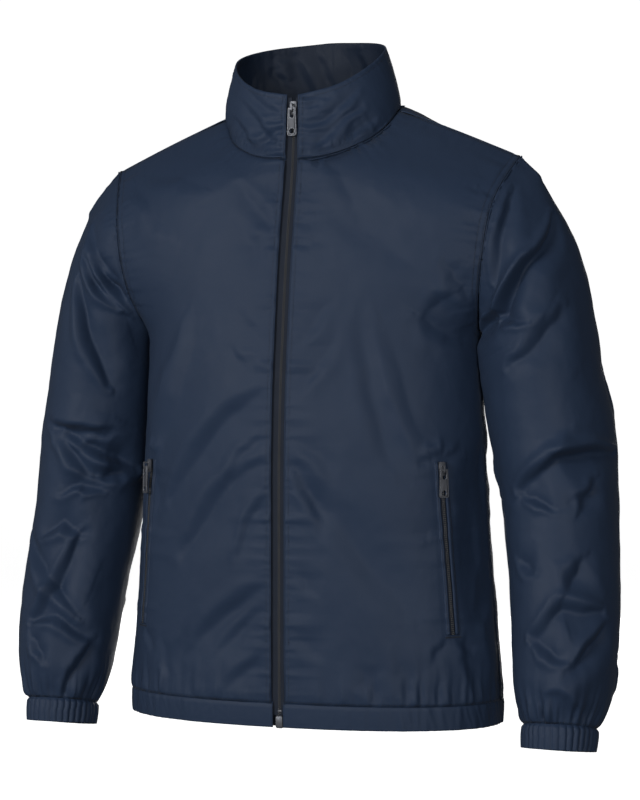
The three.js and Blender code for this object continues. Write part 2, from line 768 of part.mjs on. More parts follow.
function addHemBand() {
  const shareOf = (column) => column / hemColumns;
  const placeAt = (column, z) => aroundBody(shareOf(column), z);
  const outwardAt = (column, z) => outwardOfBody(shareOf(column), z);
  const raiseAt = (column) => {
    const fromZip = Math.min(shareOf(column), 1 - shareOf(column));
    const strength = smoothStep(clamp((fromZip - hemGatherStart / 4) / hemGatherStart, 0, 1));
    return column % 2 === 0 ? 0 : hemGatherDepth * strength;
  };
  const levels = [hemLevel, hemSeamLevel - seamGap];
  addPiece('hem_band', bandGeometry(hemColumns, levels, placeAt, outwardAt, raiseAt, false), navy);
}

function addCuff(name, side) {
  const columns = cuffPleats * columnsPerPleat;
  const angleOf = (column) => (side > 0 ? 1 : -1) * (360 * column) / columns;
  const placeAt = (column, z) => {
    const point = sleeveRingPoint(z, angleOf(column));
    point.x *= side;
    return point;
  };
  const outwardAt = (column) => {
    const turn = degToRad(angleOf(column));
    return vec(-side * Math.cos(turn), -Math.sin(turn), 0);
  };
  const raiseAt = (column) => (column % columnsPerPleat === 0 ? 0 : cuffPleatDepth) - cuffPleatSink;
  const levels = [cuffSeamLevel - cuffHeight, cuffSeamLevel - 2 * seamGap];
  addPiece(name, bandGeometry(columns, levels, placeAt, outwardAt, raiseAt, true), navy);
}

addHemBand();
addCuff('cuff_left', 1);
addCuff('cuff_right', -1);

// Front zip

const frontLine = (z) => readColumn(centreLines, 'z', 'front', z);

function strip(levels, insideAt, outsideAt, depth, wall) {
  return loft(levels.map((z) => {
    const y = frontLine(z) + depth;
    const inside = insideAt(z);
    const outside = outsideAt(z);
    return [vec(inside, y, z), vec(outside, y, z), vec(outside, y + wall, z), vec(inside, y + wall, z)];
  }));
}

const tapeBottom = hemLevel + boxHeight;
const sliderBottom = frontSliderLevel - sliderLength / 2;
const tapeLevels = [
  tapeBottom, -630, -580, -530, -480, -430, -400, -360, -320, -290, -258, -220, -180, -150, -121, -90, -64, -40,
  sliderBottom, zipTop,
];

function addFrontZip() {
  const inside = (side) => (z) => side * (z > sliderBottom ? tapeParting : seamGap / 2);
  const left = strip(tapeLevels, inside(1), () => tapeHalf, tapeDepth, tapeWall);
  const right = strip(tapeLevels, inside(-1), () => -tapeHalf, tapeDepth, tapeWall);
  addPiece('zip_tape_left', left, charcoal);
  addPiece('zip_tape_right', right, charcoal);
  const coilLevels = tapeLevels.slice(0, -2);
  const coilDepth = tapeDepth + tapeWall + seamGap;
  addPiece('zip_coil', strip(coilLevels, () => -coilHalf, () => coilHalf, coilDepth, coilWall), charcoal);
}

function addRetainingBox() {
  const top = hemLevel + boxHeight - seamGap;
  const levels = [hemLevel - boxEdge, hemLevel + boxEdge, top - 2 * boxEdge, top];
  const halves = [boxHalf - boxTaper, boxHalf, boxHalf, boxHalf - boxTaper];
  const rings = levels.map((z, i) => {
    const front = frontLine(z) + boxSink + (boxHalf - halves[i]);
    const back = frontLine(z) + tapeDepth + tapeWall + coilWall;
    return [vec(-halves[i], front, z), vec(halves[i], front, z), vec(halves[i], back, z), vec(-halves[i], back, z)];
  });
  addPiece('zip_box', loft(rings), gunmetal);
}

addFrontZip();
addRetainingBox();

// Sliders and pull tabs, made about the middle of the slider's front plate:
// x across, z along the zip and -y out of the cloth

function extruded(shape, depth) {
  return new THREE.ExtrudeGeometry(shape, { depth, bevelEnabled: false, curveSegments: 5 });
}

function sliderPlate() {
  const half = sliderLength / 2;
  const waist = sliderHalf * sliderWaist;
  const crown = sliderHalf * sliderCrown;
  const shoulder = half * sliderShoulder;
  const shape = new THREE.Shape();
  shape.moveTo(-waist, -half);
  shape.lineTo(waist, -half);
  shape.lineTo(sliderHalf, shoulder);
  shape.quadraticCurveTo(sliderHalf, half, crown, half);
  shape.lineTo(-crown, half);
  shape.quadraticCurveTo(-sliderHalf, half, -sliderHalf, shoulder);
  shape.closePath();
  return extruded(shape, plateWall).rotateX(Math.PI / 2).translate(0, plateWall, 0);
}

function bail() {
  const half = bailLength / 2;
  const shape = new THREE.Shape();
  shape.moveTo(-half, -bailRoot);
  shape.lineTo(half, -bailRoot);
  shape.lineTo(half, bailHeight - bailCorner);
  shape.quadraticCurveTo(half, bailHeight, half - bailCorner, bailHeight);
  shape.lineTo(bailCorner - half, bailHeight);
  shape.quadraticCurveTo(-half, bailHeight, -half, bailHeight - bailCorner);
  shape.closePath();
  const opening = new THREE.Path();
  const inside = half - bailPost;
  opening.moveTo(-inside, bailFoot);
  opening.lineTo(-inside, bailHeight - bailWall);
  opening.lineTo(inside, bailHeight - bailWall);
  opening.lineTo(inside, bailFoot);
  opening.closePath();
  shape.holes.push(opening);
  const geometry = extruded(shape, bailHalfWidth * 2).translate(0, 0, -bailHalfWidth);
  const turn = new THREE.Matrix4().makeBasis(vec(0, 0, 1), vec(0, -1, 0), vec(1, 0, 0));
  return geometry.applyMatrix4(turn);
}

function sliderBody(withBack) {
  let solid = toSolid(sliderPlate()).add(toSolid(bail()));
  if (withBack) {
    const backDepth = plateWall + plateGap + tapeWall + seamGap + coilWall + plateGap;
    const postReach = backDepth + backPlateWall / 2;
    const post = new THREE.BoxGeometry(postWidth, postReach, postLength);
    const plate = new THREE.BoxGeometry(sliderHalf * 2, backPlateWall, sliderLength);
    post.translate(0, postReach / 2, postLevel);
    plate.translate(0, backDepth + backPlateWall / 2, 0);
    solid = solid.add(toSolid(post)).add(toSolid(plate));
  }
  return fromSolid(solid);
}

function tabShape() {
  const top = tabWall / 2;
  const end = top - tabLength;
  const shape = new THREE.Shape();
  shape.moveTo(tabNarrowing - tabHalf, top);
  shape.lineTo(-tabHalf, end + tabCorner);
  shape.quadraticCurveTo(-tabHalf, end, tabCorner - tabHalf, end);
  shape.lineTo(tabHalf - tabCorner, end);
  shape.quadraticCurveTo(tabHalf, end, tabHalf, end + tabCorner);
  shape.lineTo(tabHalf - tabNarrowing, top);
  shape.closePath();
  const slot = new THREE.Path();
  slot.moveTo(-tabSlotHalf, -top);
  slot.lineTo(tabSlotHalf, -top);
  slot.lineTo(tabSlotHalf, -tabSlotLength);
  slot.absarc(0, -tabSlotLength, tabSlotHalf, 0, -Math.PI, true);
  slot.closePath();
  const hole = new THREE.Path();
  hole.absarc(0, end + tabHoleEdge + tabHoleRadius, tabHoleRadius, 0, Math.PI * 2, true);
  shape.holes.push(slot, hole);
  return shape;
}

function pullTab() {
  return extruded(tabShape(), tabWall).rotateX(Math.PI / 2).translate(0, tabWall / 2, 0);
}

// Puts a slider and its tab at a place on the cloth, turned about the vertical
function addSlider(name, place, turn, withBack) {
  const slider = addPiece(`${name}_slider`, sliderBody(withBack), gunmetal);
  slider.position.copy(place);
  slider.rotation.z = turn;
  const tab = addPiece(`${name}_pull`, pullTab(), gunmetal);
  const bar = vec(0, -barHeight, -barDrop).applyAxisAngle(vec(0, 0, 1), turn).add(place);
  tab.position.copy(bar);
  tab.rotation.z = turn;
}

const sliderDepth = tapeDepth - plateGap - plateWall;
addSlider('zip', vec(0, frontLine(frontSliderLevel) + sliderDepth, frontSliderLevel), 0, true);

// Side pockets

// Place on a panel at (x, z), as seen from the front
function panelHit(grid, x, z) {
  for (const [a, b, c] of gridTriangles(grid)) {
    const whole = (b.x - a.x) * (c.z - a.z) - (c.x - a.x) * (b.z - a.z);
    if (whole <= 0) continue;
    const shareB = ((x - a.x) * (c.z - a.z) - (c.x - a.x) * (z - a.z)) / whole;
    const shareC = ((b.x - a.x) * (z - a.z) - (x - a.x) * (b.z - a.z)) / whole;
    if (shareB < 0 || shareC < 0 || shareB + shareC > 1) continue;
    return vec(x, a.y + shareB * (b.y - a.y) + shareC * (c.y - a.y), z);
  }
  return null;
}

function pocketFrame(grid, side, t) {
  const x = lerp(pocketTopX, pocketEndX, t) * side;
  const z = lerp(pocketTopZ, pocketEndZ, t);
  const place = panelHit(grid, x, z);
  const ahead = panelHit(grid, x + pocketReach, z);
  const behind = panelHit(grid, x - pocketReach, z);
  const across = ahead.sub(behind).normalize();
  const outward = vec(across.y, -across.x, 0).normalize();
  return { place, across: vec(-outward.y, outward.x, 0), outward };
}

// Section of a strip that lies on the panel, its two edges lifted off the cloth below them
function strapRing(grid, frame, from, to, lift, wall) {
  const at = (offset, height) => {
    const point = frame.place.clone().addScaledVector(frame.across, offset);
    return panelHit(grid, point.x, point.z).addScaledVector(frame.outward, height);
  };
  return [at(from, lift), at(to, lift), at(to, lift + wall), at(from, lift + wall)];
}

function addPocket(name, grid, side) {
  const steps = Array.from({ length: pocketSteps + 1 }, (_, i) => i / pocketSteps);
  const frames = steps.map((t) => pocketFrame(grid, side, t));
  const ring = (from, to, wall) => frames.map((frame) => strapRing(grid, frame, from, to, surfaceLift, wall));
  addPiece(`${name}_welt_front`, loft(ring(-weltHalf, -weltSlotHalf, weltWall)), navy);
  addPiece(`${name}_welt_back`, loft(ring(weltSlotHalf, weltHalf, weltWall)), navy);
  addPiece(`${name}_coil`, loft(ring(-pocketCoilHalf, pocketCoilHalf, pocketCoilWall)), charcoal);
  const { place, outward } = pocketFrame(grid, side, sliderLength / 2 / (pocketTopZ - pocketEndZ));
  const depth = surfaceLift + weltWall + plateGap + plateWall;
  addSlider(name, place.addScaledVector(outward, depth), Math.atan2(outward.x, -outward.y), false);
}

addPocket('pocket_left', body.frontLeft, 1);
addPocket('pocket_right', body.frontRight, -1);

export default group;
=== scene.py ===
import math
import bmesh
import bpy
import numpy as np
from mathutils import Matrix, Vector, noise
from mathutils.bvhtree import BVHTree
from mathutils.kdtree import KDTree


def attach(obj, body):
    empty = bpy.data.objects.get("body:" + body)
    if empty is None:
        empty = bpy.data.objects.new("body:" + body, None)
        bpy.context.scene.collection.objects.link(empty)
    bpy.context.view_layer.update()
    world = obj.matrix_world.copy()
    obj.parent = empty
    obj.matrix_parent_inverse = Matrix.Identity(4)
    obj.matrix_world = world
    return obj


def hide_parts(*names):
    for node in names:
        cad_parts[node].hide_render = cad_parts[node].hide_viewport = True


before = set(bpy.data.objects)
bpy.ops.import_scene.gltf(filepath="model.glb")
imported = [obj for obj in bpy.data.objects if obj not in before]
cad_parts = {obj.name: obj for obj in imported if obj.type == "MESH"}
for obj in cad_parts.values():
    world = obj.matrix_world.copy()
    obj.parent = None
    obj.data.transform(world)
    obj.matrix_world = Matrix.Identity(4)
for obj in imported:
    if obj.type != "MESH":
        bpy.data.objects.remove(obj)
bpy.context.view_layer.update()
scene = bpy.context.scene
mm = 0.001


# Shader wires: a socket that can be used in plain sums

class Wire:
    def __init__(self, finish, socket):
        self.finish = finish
        self.socket = socket

    def sum(self, operation, *others):
        inputs = {i: value for i, value in enumerate((self, *others))}
        return self.finish.add("Math", {"operation": operation}, inputs)

    def __add__(self, other):
        return self.sum("ADD", other)

    def __mul__(self, other):
        return self.sum("MULTIPLY", other)

    def sine(self):
        return self.sum("SINE")

    def size(self):
        return self.sum("ABSOLUTE")


class Finish:
    def __init__(self, name):
        self.material = bpy.data.materials.new(name)
        self.material.use_nodes = True
        self.tree = self.material.node_tree
        self.tree.nodes.clear()

    def add(self, kind, settings=None, inputs=None, output=0):
        node = self.tree.nodes.new("ShaderNode" + kind)
        for key, value in (settings or {}).items():
            setattr(node, key, value)
        for key, value in (inputs or {}).items():
            if isinstance(value, Wire):
                self.tree.links.new(value.socket, node.inputs[key])
            else:
                node.inputs[key].default_value = value
        return Wire(self, node.outputs[output]) if node.outputs else None

    def place(self):
        return self.add("TexCoord", output="Object")

    def value(self, name):
        return self.add("Attribute", {"attribute_name": name}, output="Fac")

    def cloud(self, scale, detail=3, rough=0.5):
        inputs = {"Vector": self.place(), "Scale": scale, "Detail": detail, "Roughness": rough}
        return self.add("TexNoise", None, inputs)

    def blend(self, share, first, second):
        inputs = {0: share, 6: first, 7: second}
        return self.add("Mix", {"data_type": "RGBA"}, inputs, output=2)

    def mottle(self, colour, darkest, scale):
        # The colour, down to a share of itself in soft patches
        dark = rgb(*[c * darkest for c in colour])
        return self.blend(self.cloud(scale), dark, rgb(*colour))

    def bump(self, height, strength=1.0, distance=1.0):
        return self.add("Bump", None, {"Height": height, "Strength": strength, "Distance": distance})

    def shade(self, **inputs):
        named = {key.replace("_", " "): value for key, value in inputs.items()}
        surface = self.add("BsdfPrincipled", None, named)
        self.add("OutputMaterial", None, {"Surface": surface})
        return self.material


def rgb(red, green, blue):
    return (red, green, blue, 1.0)


# Navy taffeta: fine weave, faint crinkle, and small puckers where a seam gathers it; depths in metres
taffeta = {
    "light": (0.023, 0.040, 0.078),
    "dark": (0.018, 0.032, 0.065),
    "threadsPerMetre": 2100,
    "weaveDepth": 0.00003,
    "crinkle": (34, 5, 0.62),
    "crinkleDepth": 0.0005,
    "fineScale": 150,
    "fineDepth": 0.00012,
    "puckersPerMetre": 700,
    "puckerSway": 9,
    "puckerDepth": 0.00025,
    "roughness": 0.46,
    "roughnessRange": 0.12,
    "specular": 0.18,
    "sheen": 0.03,
}


# The last argument scales the whole colour down; below 1 it makes a darker copy of the cloth as painted shade
def clothFinish(name, paintedShadeFactor=1.0):
    f = Finish(name)
    uv = f.add("UVMap", {"uv_map": "clothUv"})
    warp = f.add("SeparateXYZ", None, {0: uv})
    weft = Wire(f, warp.socket.node.outputs[1])
    turns = taffeta["threadsPerMetre"] * math.pi
    weave = (warp * turns).sine() * (weft * turns).sine()
    share = f.cloud(9, 4)
    crinkle = f.cloud(*taffeta["crinkle"])
    fine = f.cloud(taffeta["fineScale"])
    run = f.value("seamRun")
    near = f.value("seamNear")
    sway = f.cloud(55, 2) * taffeta["puckerSway"]
    pucker = near * (run * taffeta["puckersPerMetre"] + sway).sine()
    height = crinkle * taffeta["crinkleDepth"] + fine * taffeta["fineDepth"]
    height = height + pucker * taffeta["puckerDepth"] + weave * taffeta["weaveDepth"]
    light = rgb(*[c * paintedShadeFactor for c in taffeta["light"]])
    dark = rgb(*[c * paintedShadeFactor for c in taffeta["dark"]])
    return f.shade(
        Base_Color=f.blend(share, dark, light),
        Roughness=f.cloud(20) * taffeta["roughnessRange"] + taffeta["roughness"],
        Normal=f.bump(height),
        Specular_IOR_Level=taffeta["specular"],
        Sheen_Weight=taffeta["sheen"],
        Sheen_Roughness=0.4,
    )


def tapeFinish(name, colour, twillScale):
    f = Finish(name)
    parts = f.add("SeparateXYZ", None, {0: f.place()})
    x = Wire(f, parts.socket.node.outputs[0])
    z = Wire(f, parts.socket.node.outputs[2])
    twill = ((z + x.size()) * twillScale).sine() * tape["twillDepth"]
    rib = (x * tape["ribScale"]).sine() * tape["ribDepth"]
    return f.shade(
        Base_Color=f.mottle(colour, 0.75, 60),
        Roughness=f.cloud(90) * 0.15 + 0.6,
        Specular_IOR_Level=0.15,
        Normal=f.bump(twill + rib),
    )


def metalFinish(name, colour, roughness):
    f = Finish(name)
    marks = f.cloud(900, 4, 0.7)
    return f.shade(
        Base_Color=f.mottle(colour, 0.8, 160),
        Metallic=metal["metallic"][name],
        Roughness=marks * 0.2 + roughness,
        Normal=f.bump(marks, metal["bump"], metal["depth"]),
    )


def threadFinish(name, colour):
    f = Finish(name)
    twist = f.cloud(1500, 2) * 0.0001
    return f.shade(Base_Color=f.mottle(colour, 0.7, 300), Roughness=0.7, Normal=f.bump(twist))


tape = {"twillDepth": 0.0001, "ribScale": 6200, "ribDepth": 0.00005}
metal = {"bump": 0.3, "depth": 0.0002, "metallic": {"gunmetal": 0.35, "gunmetalPaintedHighlight": 0.55}}
navyCloth = clothFinish("navyTaffeta")
# The inside of the cloth is the same taffeta at about half its colour: painted shade on the inside of the
# jacket, where little light falls
navyInsidePaintedShade = clothFinish("navyTaffetaInsidePaintedShade", 0.48)
tapeCloth = tapeFinish("zipTape", (0.021, 0.027, 0.042), 2600)
toothNylon = tapeFinish("coilNylon", (0.13, 0.128, 0.12), 4000)
# The thread is the cloth's navy painted darker: painted shade for the small shadows at the needle holes along
# each stitch row
threadPaintedShade = threadFinish("navyThreadPaintedShade", (0.014, 0.021, 0.036))
darkMetal = metalFinish("gunmetal", (0.085, 0.09, 0.105), 0.42)
# A paler copy of the gunmetal: painted highlight along the tabs' raised rims; the front slider, retaining box
# and pin use it too
paleMetalPaintedHighlight = metalFinish("gunmetalPaintedHighlight", (0.16, 0.168, 0.19), 0.36)
print("finishes made")


# Helpers that the pieces share

def pointTree(points):
    tree = KDTree(len(points))
    for i, point in enumerate(points):
        tree.insert(point, i)
    tree.balance()
    return tree


def linkMesh(bm, name):
    mesh = bpy.data.meshes.new(name)
    bm.to_mesh(mesh)
    bm.free()
    piece = bpy.data.objects.new(name, mesh)
    scene.collection.objects.link(piece)
    return piece


def shadeSmooth(piece):
    for polygon in piece.data.polygons:
        polygon.use_smooth = True


# Cloth skins, taken from the cut pieces' own solids

def islandsOf(bm):
    left = set(bm.faces)
    while left:
        island, front = set(), [left.pop()]
        while front:
            face = front.pop()
            island.add(face)
            for edge in face.edges:
                for other in edge.link_faces:
                    if other in left:
                        left.discard(other)
                        front.append(other)
        yield island


def skinMesh(node, centre, inside=False, rows=0):
    # The outer (or inner) skin of a solid wall, as one open sheet of quads that faces out
    bm = bmesh.new()
    bm.from_mesh(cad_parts[node].data)
    bmesh.ops.remove_doubles(bm, verts=bm.verts, dist=1e-6)
    limit = math.radians(60)
    sharp = [e for e in bm.edges if len(e.link_faces) == 2 and e.calc_face_angle() > limit]
    bmesh.ops.split_edges(bm, edges=sharp)
    sign = -1 if inside else 1
    middle = Vector(centre) * mm

    def outwardness(island):
        return sum(f.calc_area() * (f.calc_center_median() - middle).dot(f.normal) for f in island) * sign

    walls = [i for i in islandsOf(bm) if outwardness(i) > 0]
    kept = max(walls, key=lambda i: sum(f.calc_area() for f in i))
    bmesh.ops.delete(bm, geom=[f for f in bm.faces if f not in kept], context="FACES")
    if inside:
        bmesh.ops.reverse_faces(bm, faces=bm.faces)
    angle = math.radians(70)
    bmesh.ops.join_triangles(bm, faces=bm.faces, angle_face_threshold=angle, angle_shape_threshold=angle)
    pin = bm.verts.layers.float.new("crease_vert")
    for v in bm.verts:
        rim = [e.other_vert(v).co - v.co for e in v.link_edges if e.is_boundary]
        if len(rim) == 2 and math.pi - rim[0].angle(rim[1], 0) > math.radians(30):
            v[pin] = 1.0
    if rows:
        upright = [e for e in bm.edges if abs(e.verts[0].co.z - e.verts[1].co.z) > 0.01]
        bmesh.ops.subdivide_edges(bm, edges=upright, cuts=rows, use_grid_fill=True)
    return bm


def refine(bm, name, levels):
    piece = linkMesh(bm, name)
    smooth = piece.modifiers.new("smooth", "SUBSURF")
    smooth.levels = smooth.render_levels = levels
    smooth.boundary_smooth = "PRESERVE_CORNERS"
    shaped = bpy.data.meshes.new_from_object(piece.evaluated_get(bpy.context.evaluated_depsgraph_get()))
    piece.modifiers.clear()
    piece.data = shaped
    shaped.name = name
    return piece


def pointsOf(piece, what="co"):
    values = np.zeros(len(piece.data.vertices) * 3)
    piece.data.vertices.foreach_get(what, values)
    return values.reshape(-1, 3)


# Seams: ordered runs of rim points, by name

def seamRuns(piece, nameAt):
    bm = bmesh.new()
    bm.from_mesh(piece.data)
    bm.verts.ensure_lookup_table()
    groups = {}
    for edge in bm.edges:
        if edge.is_boundary:
            name = nameAt((edge.verts[0].co + edge.verts[1].co) / 2 / mm)
            groups.setdefault(name, {})
            for a, b in (edge.verts, reversed(edge.verts)):
                groups[name].setdefault(a.index, []).append(b.index)
    runs = {}
    for name, links in groups.items():
        runs[name] = []
        left = set(links)
        while left:
            ends = [i for i in left if len(links[i]) == 1]
            here = ends[0] if ends else min(left)
            run = []
            while here is not None:
                left.discard(here)
                run.append(here)
                here = next((i for i in links[here] if i in left), None)
            if len(run) > 3:
                runs[name].append(RimRun(bm, run, links))
    bm.free()
    return runs


class RimRun:
    def __init__(self, bm, run, links):
        verts = [bm.verts[i] for i in run]
        self.closed = run[0] in links[run[-1]] and len(run) > 8
        self.at = [v.co.copy() for v in verts]
        self.normal = [v.normal.copy() for v in verts]
        self.inward = []
        for v in verts:
            inner = [e.other_vert(v).co for e in v.link_edges if not e.is_boundary]
            middle = sum(inner, Vector()) / len(inner) if inner else v.co
            self.inward.append(middle - v.co)
        self.along = [0.0]
        for a, b in zip(self.at, self.at[1:]):
            self.along.append(self.along[-1] + (b - a).length)

    def offset(self, distance):
        # The run moved into the cloth, square to the seam
        moved = []
        count = len(self.at)
        for i, point in enumerate(self.at):
            before = self.at[i - 1] if i or self.closed else point
            after = self.at[(i + 1) % count] if i + 1 < count or self.closed else point
            side = self.normal[i].cross(after - before).normalized()
            if side.dot(self.inward[i]) < 0:
                side.negate()
            moved.append(point + side * distance)
        return moved


def fromRuns(points, runs):
    # Distance to the nearest rim point of some runs, and the run's length there, in metres
    tree = pointTree([point for r in runs for point in r.at])
    along = [length for r in runs for length in r.along]
    found = [tree.find(p) for p in points]
    return np.array([f[2] for f in found]), np.array([along[f[1]] for f in found])


# Creases: (width, depth, lip, path) in mm, a trough where depth is below zero; fold holds shares of the width
fold = {
    "reach": 4.5, "steep": 0.55, "gentle": 1.35, "sway": 0.35, "power": 1.3, "lipAt": 1.9, "lipWidth": 1.1,
}

def wander(values, seed, step):
    return np.array([noise.noise(Vector((v / step, seed * 7.3, 0.5))) for v in values])


def creaseHeight(across, level, crease, seed, turn):
    width, depth, lip, path = crease
    best = np.full(len(across), 1e9)
    share = np.zeros(len(across))
    lengths = [math.dist(a, b) for a, b in zip(path, path[1:])]
    total, done = sum(lengths), 0.0
    for (a, b), length in zip(zip(path, path[1:]), lengths):
        run = np.array(b, float) - np.array(a, float)
        offX, offZ = across - a[0], level - a[1]
        t = np.clip((offX * run[0] + offZ * run[1]) / length ** 2, 0, 1)
        off = np.hypot(offX - t * run[0], offZ - t * run[1])
        side = np.where(offX * run[1] - offZ * run[0] < 0, -1, 1)
        nearer = off < np.abs(best)
        best = np.where(nearer, off * side, best)
        share = np.where(nearer, (done + t * length) / total, share)
        done += length
    reach = np.abs(best) < fold["reach"] * width
    height = np.zeros(len(across))
    t, off = share[reach], best[reach] * turn
    sway = 1 + fold["sway"] * wander(t * 100, seed, 33)
    off = off + width * fold["sway"] * wander(t * 100, seed + 40, 27)
    steep = np.where(off > 0, fold["steep"], fold["gentle"])
    spread = width * (0.75 + 0.5 * np.sin(math.pi * t)) * sway * steep
    fade = np.clip(np.sin(math.pi * (0.06 + 0.88 * t)), 0, 1) ** 0.7
    trough = np.exp(-(np.abs(off) / spread) ** fold["power"])
    lips = np.exp(-((np.abs(off) - fold["lipAt"] * spread) / (fold["lipWidth"] * spread)) ** 2)
    height[reach] = depth * fade * (trough - lip * lips * (1 + 0.5 * np.sign(off)) / 1.5)
    return height


def crumple(points, size, depth, seed):
    offset = Vector((seed * 3.1, seed * 1.7, 0))
    heights = [noise.fractal(p / size + offset, 0.9, 2.1, 3) for p in points]
    return np.array(heights) * depth


sewing = {
    "wave": 0.5, "smallWave": 0.23, "small": 0.6, "level": 1.6, "calm": 0.75, "uneven": 1.3, "unevenStep": 38,
    "dipReach": 3.5, "groove": 0.4, "grooveReach": 1.5, "nearReach": 1.2,
}


def sew(piece, seams, runs):
    # Dips to the seam's line, a groove along its stitches, and uneven puckers beside it
    points = [v.co for v in piece.data.vertices]
    height = np.zeros(len(points))
    runAlong = np.zeros(len(points))
    runNear = np.zeros(len(points))
    second = np.zeros(len(points))
    for name, seam in seams.items():
        if not runs.get(name):
            continue
        off, along = fromRuns(points, runs[name])
        off, along = off / mm, along / mm
        rise = (off / seam["peak"]) * np.exp(1 - off / seam["peak"])
        waves = wander(along, seam["seed"], seam["length"] * sewing["wave"])
        small = wander(along, seam["seed"] + 9, seam["length"] * sewing["smallWave"])
        waves = waves + sewing["small"] * small
        uneven = np.abs(wander(along, seam["seed"] + 17, sewing["unevenStep"]))
        uneven = sewing["calm"] + sewing["uneven"] * uneven
        height += seam["pucker"] * rise * waves * sewing["level"] * uneven
        height -= seam["dip"] * np.exp(-(off / sewing["dipReach"]) ** 2)
        if seam["stitch"]:
            height -= sewing["groove"] * np.exp(-((off - seam["stitch"]) / sewing["grooveReach"]) ** 2)
        near = np.exp(-(off / (seam["peak"] * sewing["nearReach"])) ** 2) * seam["fine"]
        stronger = near > runNear
        second = np.where(stronger, runNear, np.maximum(second, near))
        runAlong = np.where(stronger, along * mm, runAlong)
        runNear = np.where(stronger, near, runNear)
    for name, values in (("seamRun", runAlong), ("seamNear", runNear - second)):
        layer = piece.data.attributes.new(name, "FLOAT", "POINT")
        layer.data.foreach_set("value", values.astype(np.float32))
    return height


def holdRims(piece, reach):
    # 0 on the rim and 1 within the cloth, so that pieces still meet at their seams
    bm = bmesh.new()
    bm.from_mesh(piece.data)
    rim = [v.co.copy() for v in bm.verts if v.is_boundary]
    bm.free()
    tree = pointTree(rim)
    off = np.array([tree.find(v.co)[2] for v in piece.data.vertices])
    share = np.clip(off / (reach * mm), 0, 1)
    return share * share * (3 - 2 * share)


def tuckRims(piece, seams, runs):
    # The rims that their neighbour covers go a little further, one wall down
    tree = pointTree(pointsOf(piece))
    moves = {}
    for name, seam in seams.items():
        covered = runs.get(name, []) if seam.get("under") else []
        for run in covered:
            ends = 0 if run.closed else 3
            rims = list(zip(run.at, run.normal, run.offset(-seam.get("past", 1.1) * mm)))
            for at, normal, past in rims[ends:len(rims) - ends]:
                moves[tree.find(at)[1]] = past - at - normal * seam["under"] * mm
    return moves


def layWeave(piece, around):
    # A map of metres round and metres up, so that the weave follows the cloth
    loops = np.zeros(len(piece.data.loops), int)
    piece.data.loops.foreach_get("vertex_index", loops)
    u, v = around[loops], pointsOf(piece)[loops, 2]
    for polygon in piece.data.polygons:
        run = slice(polygon.loop_start, polygon.loop_start + polygon.loop_total)
        if u[run].max() - u[run].min() > 0.15:
            u[run] = np.where(u[run] < u[run].mean(), u[run] + 0.414, u[run])
    layer = piece.data.uv_layers.new(name="clothUv")
    layer.data.foreach_set("uv", np.stack([u, v], 1).ravel())


def finishCloth(piece, wall, material):
    shadeSmooth(piece)
    piece.data.materials.clear()
    piece.data.materials.append(material)
    layers = piece.modifiers.new("wall", "SOLIDIFY")
    # Inner walls take the darker copy of the taffeta: painted shade inside the jacket
    if material == navyCloth:
        piece.data.materials.append(navyInsidePaintedShade)
        layers.material_offset = 1
    layers.thickness = wall * mm
    layers.offset = -1
    layers.use_rim = True
    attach(piece, "root")


sleeveLine = [
    (-710, 297, -68), (-682, 297.7, -62), (-640, 299, -52), (-546, 295.8, -32), (-450, 286, -10),
    (-410, 281, -5), (-364, 276.5, -3), (-300, 267, -8), (-180, 255, -20), (-60, 243, -22),
]


def sleeveAngle(points, side):
    # Degrees round the arm: 0 towards the body, 90 at the front and 180 outside
    levels = points[:, 2]
    middleX = np.interp(levels, [r[0] for r in sleeveLine], [r[1] for r in sleeveLine])
    middleY = np.interp(levels, [r[0] for r in sleeveLine], [r[2] for r in sleeveLine])
    return np.degrees(np.arctan2(middleY - points[:, 1], middleX - points[:, 0] * side)) % 360


def shapeCloth(piece, across, level, plan, runs, closedAt=None):
    points = [v.co.copy() for v in piece.data.vertices]
    height = np.zeros(len(points))
    for i, crease in enumerate(plan["creases"]):
        for start in (0, closedAt) if closedAt else (0,):
            rise = creaseHeight(across - start, level, crease, i + plan["seed"], plan["turn"])
            height += rise * plan["strength"]
    scaled = [p / mm for p in points]
    height += crumple(scaled, 58, plan["crumple"], plan["seed"])
    height += crumple(scaled, 21, plan["crumple"] * 0.3, plan["seed"] + 5)
    height = height * holdRims(piece, plan["hold"]) + sew(piece, plan["seams"], runs)
    moves = tuckRims(piece, plan["seams"], runs)
    moved = pointsOf(piece) + pointsOf(piece, "normal") * (height * mm)[:, None]
    for i, move in moves.items():
        moved[i] += move
    if runs.get("zip"):
        off, _ = fromRuns(points, runs["zip"])
        moved[:, 0] += np.sign(moved[:, 0]) * 1.3 * mm * np.exp(-(off / (7 * mm)) ** 2)
    piece.data.vertices.foreach_set("co", moved.ravel())
    piece.data.update()


# The shared seams: how far the cloth dips, and how long, deep and fine the puckers beside it are

zipSeam = {"dip": 0.3, "stitch": 7, "pucker": 1.2, "peak": 10, "length": 13, "fine": 0.55, "seed": 3}
neckSeam = {"dip": 0.5, "stitch": 0, "pucker": 0.7, "peak": 10, "length": 20, "fine": 0.5, "seed": 5}
shoulderSeam = {"dip": 0.4, "stitch": 5, "pucker": 0.3, "peak": 8, "length": 24, "fine": 0.2, "seed": 7}
armholeSeam = {"dip": 0.2, "stitch": 6, "pucker": 0.7, "peak": 10, "length": 26, "fine": 0.12, "seed": 11}
sleeveHeadSeam = {"dip": 0.2, "stitch": 0, "pucker": 0.45, "peak": 11, "length": 24, "fine": 0.12, "seed": 13}
sideSeam = {"dip": 0.4, "stitch": 0, "pucker": 0.4, "peak": 9, "length": 28, "fine": 0.2, "seed": 17}
hemSeam = {"dip": 0.3, "stitch": 2, "pucker": 1.9, "peak": 9, "length": 14, "fine": 0.5, "seed": 19}
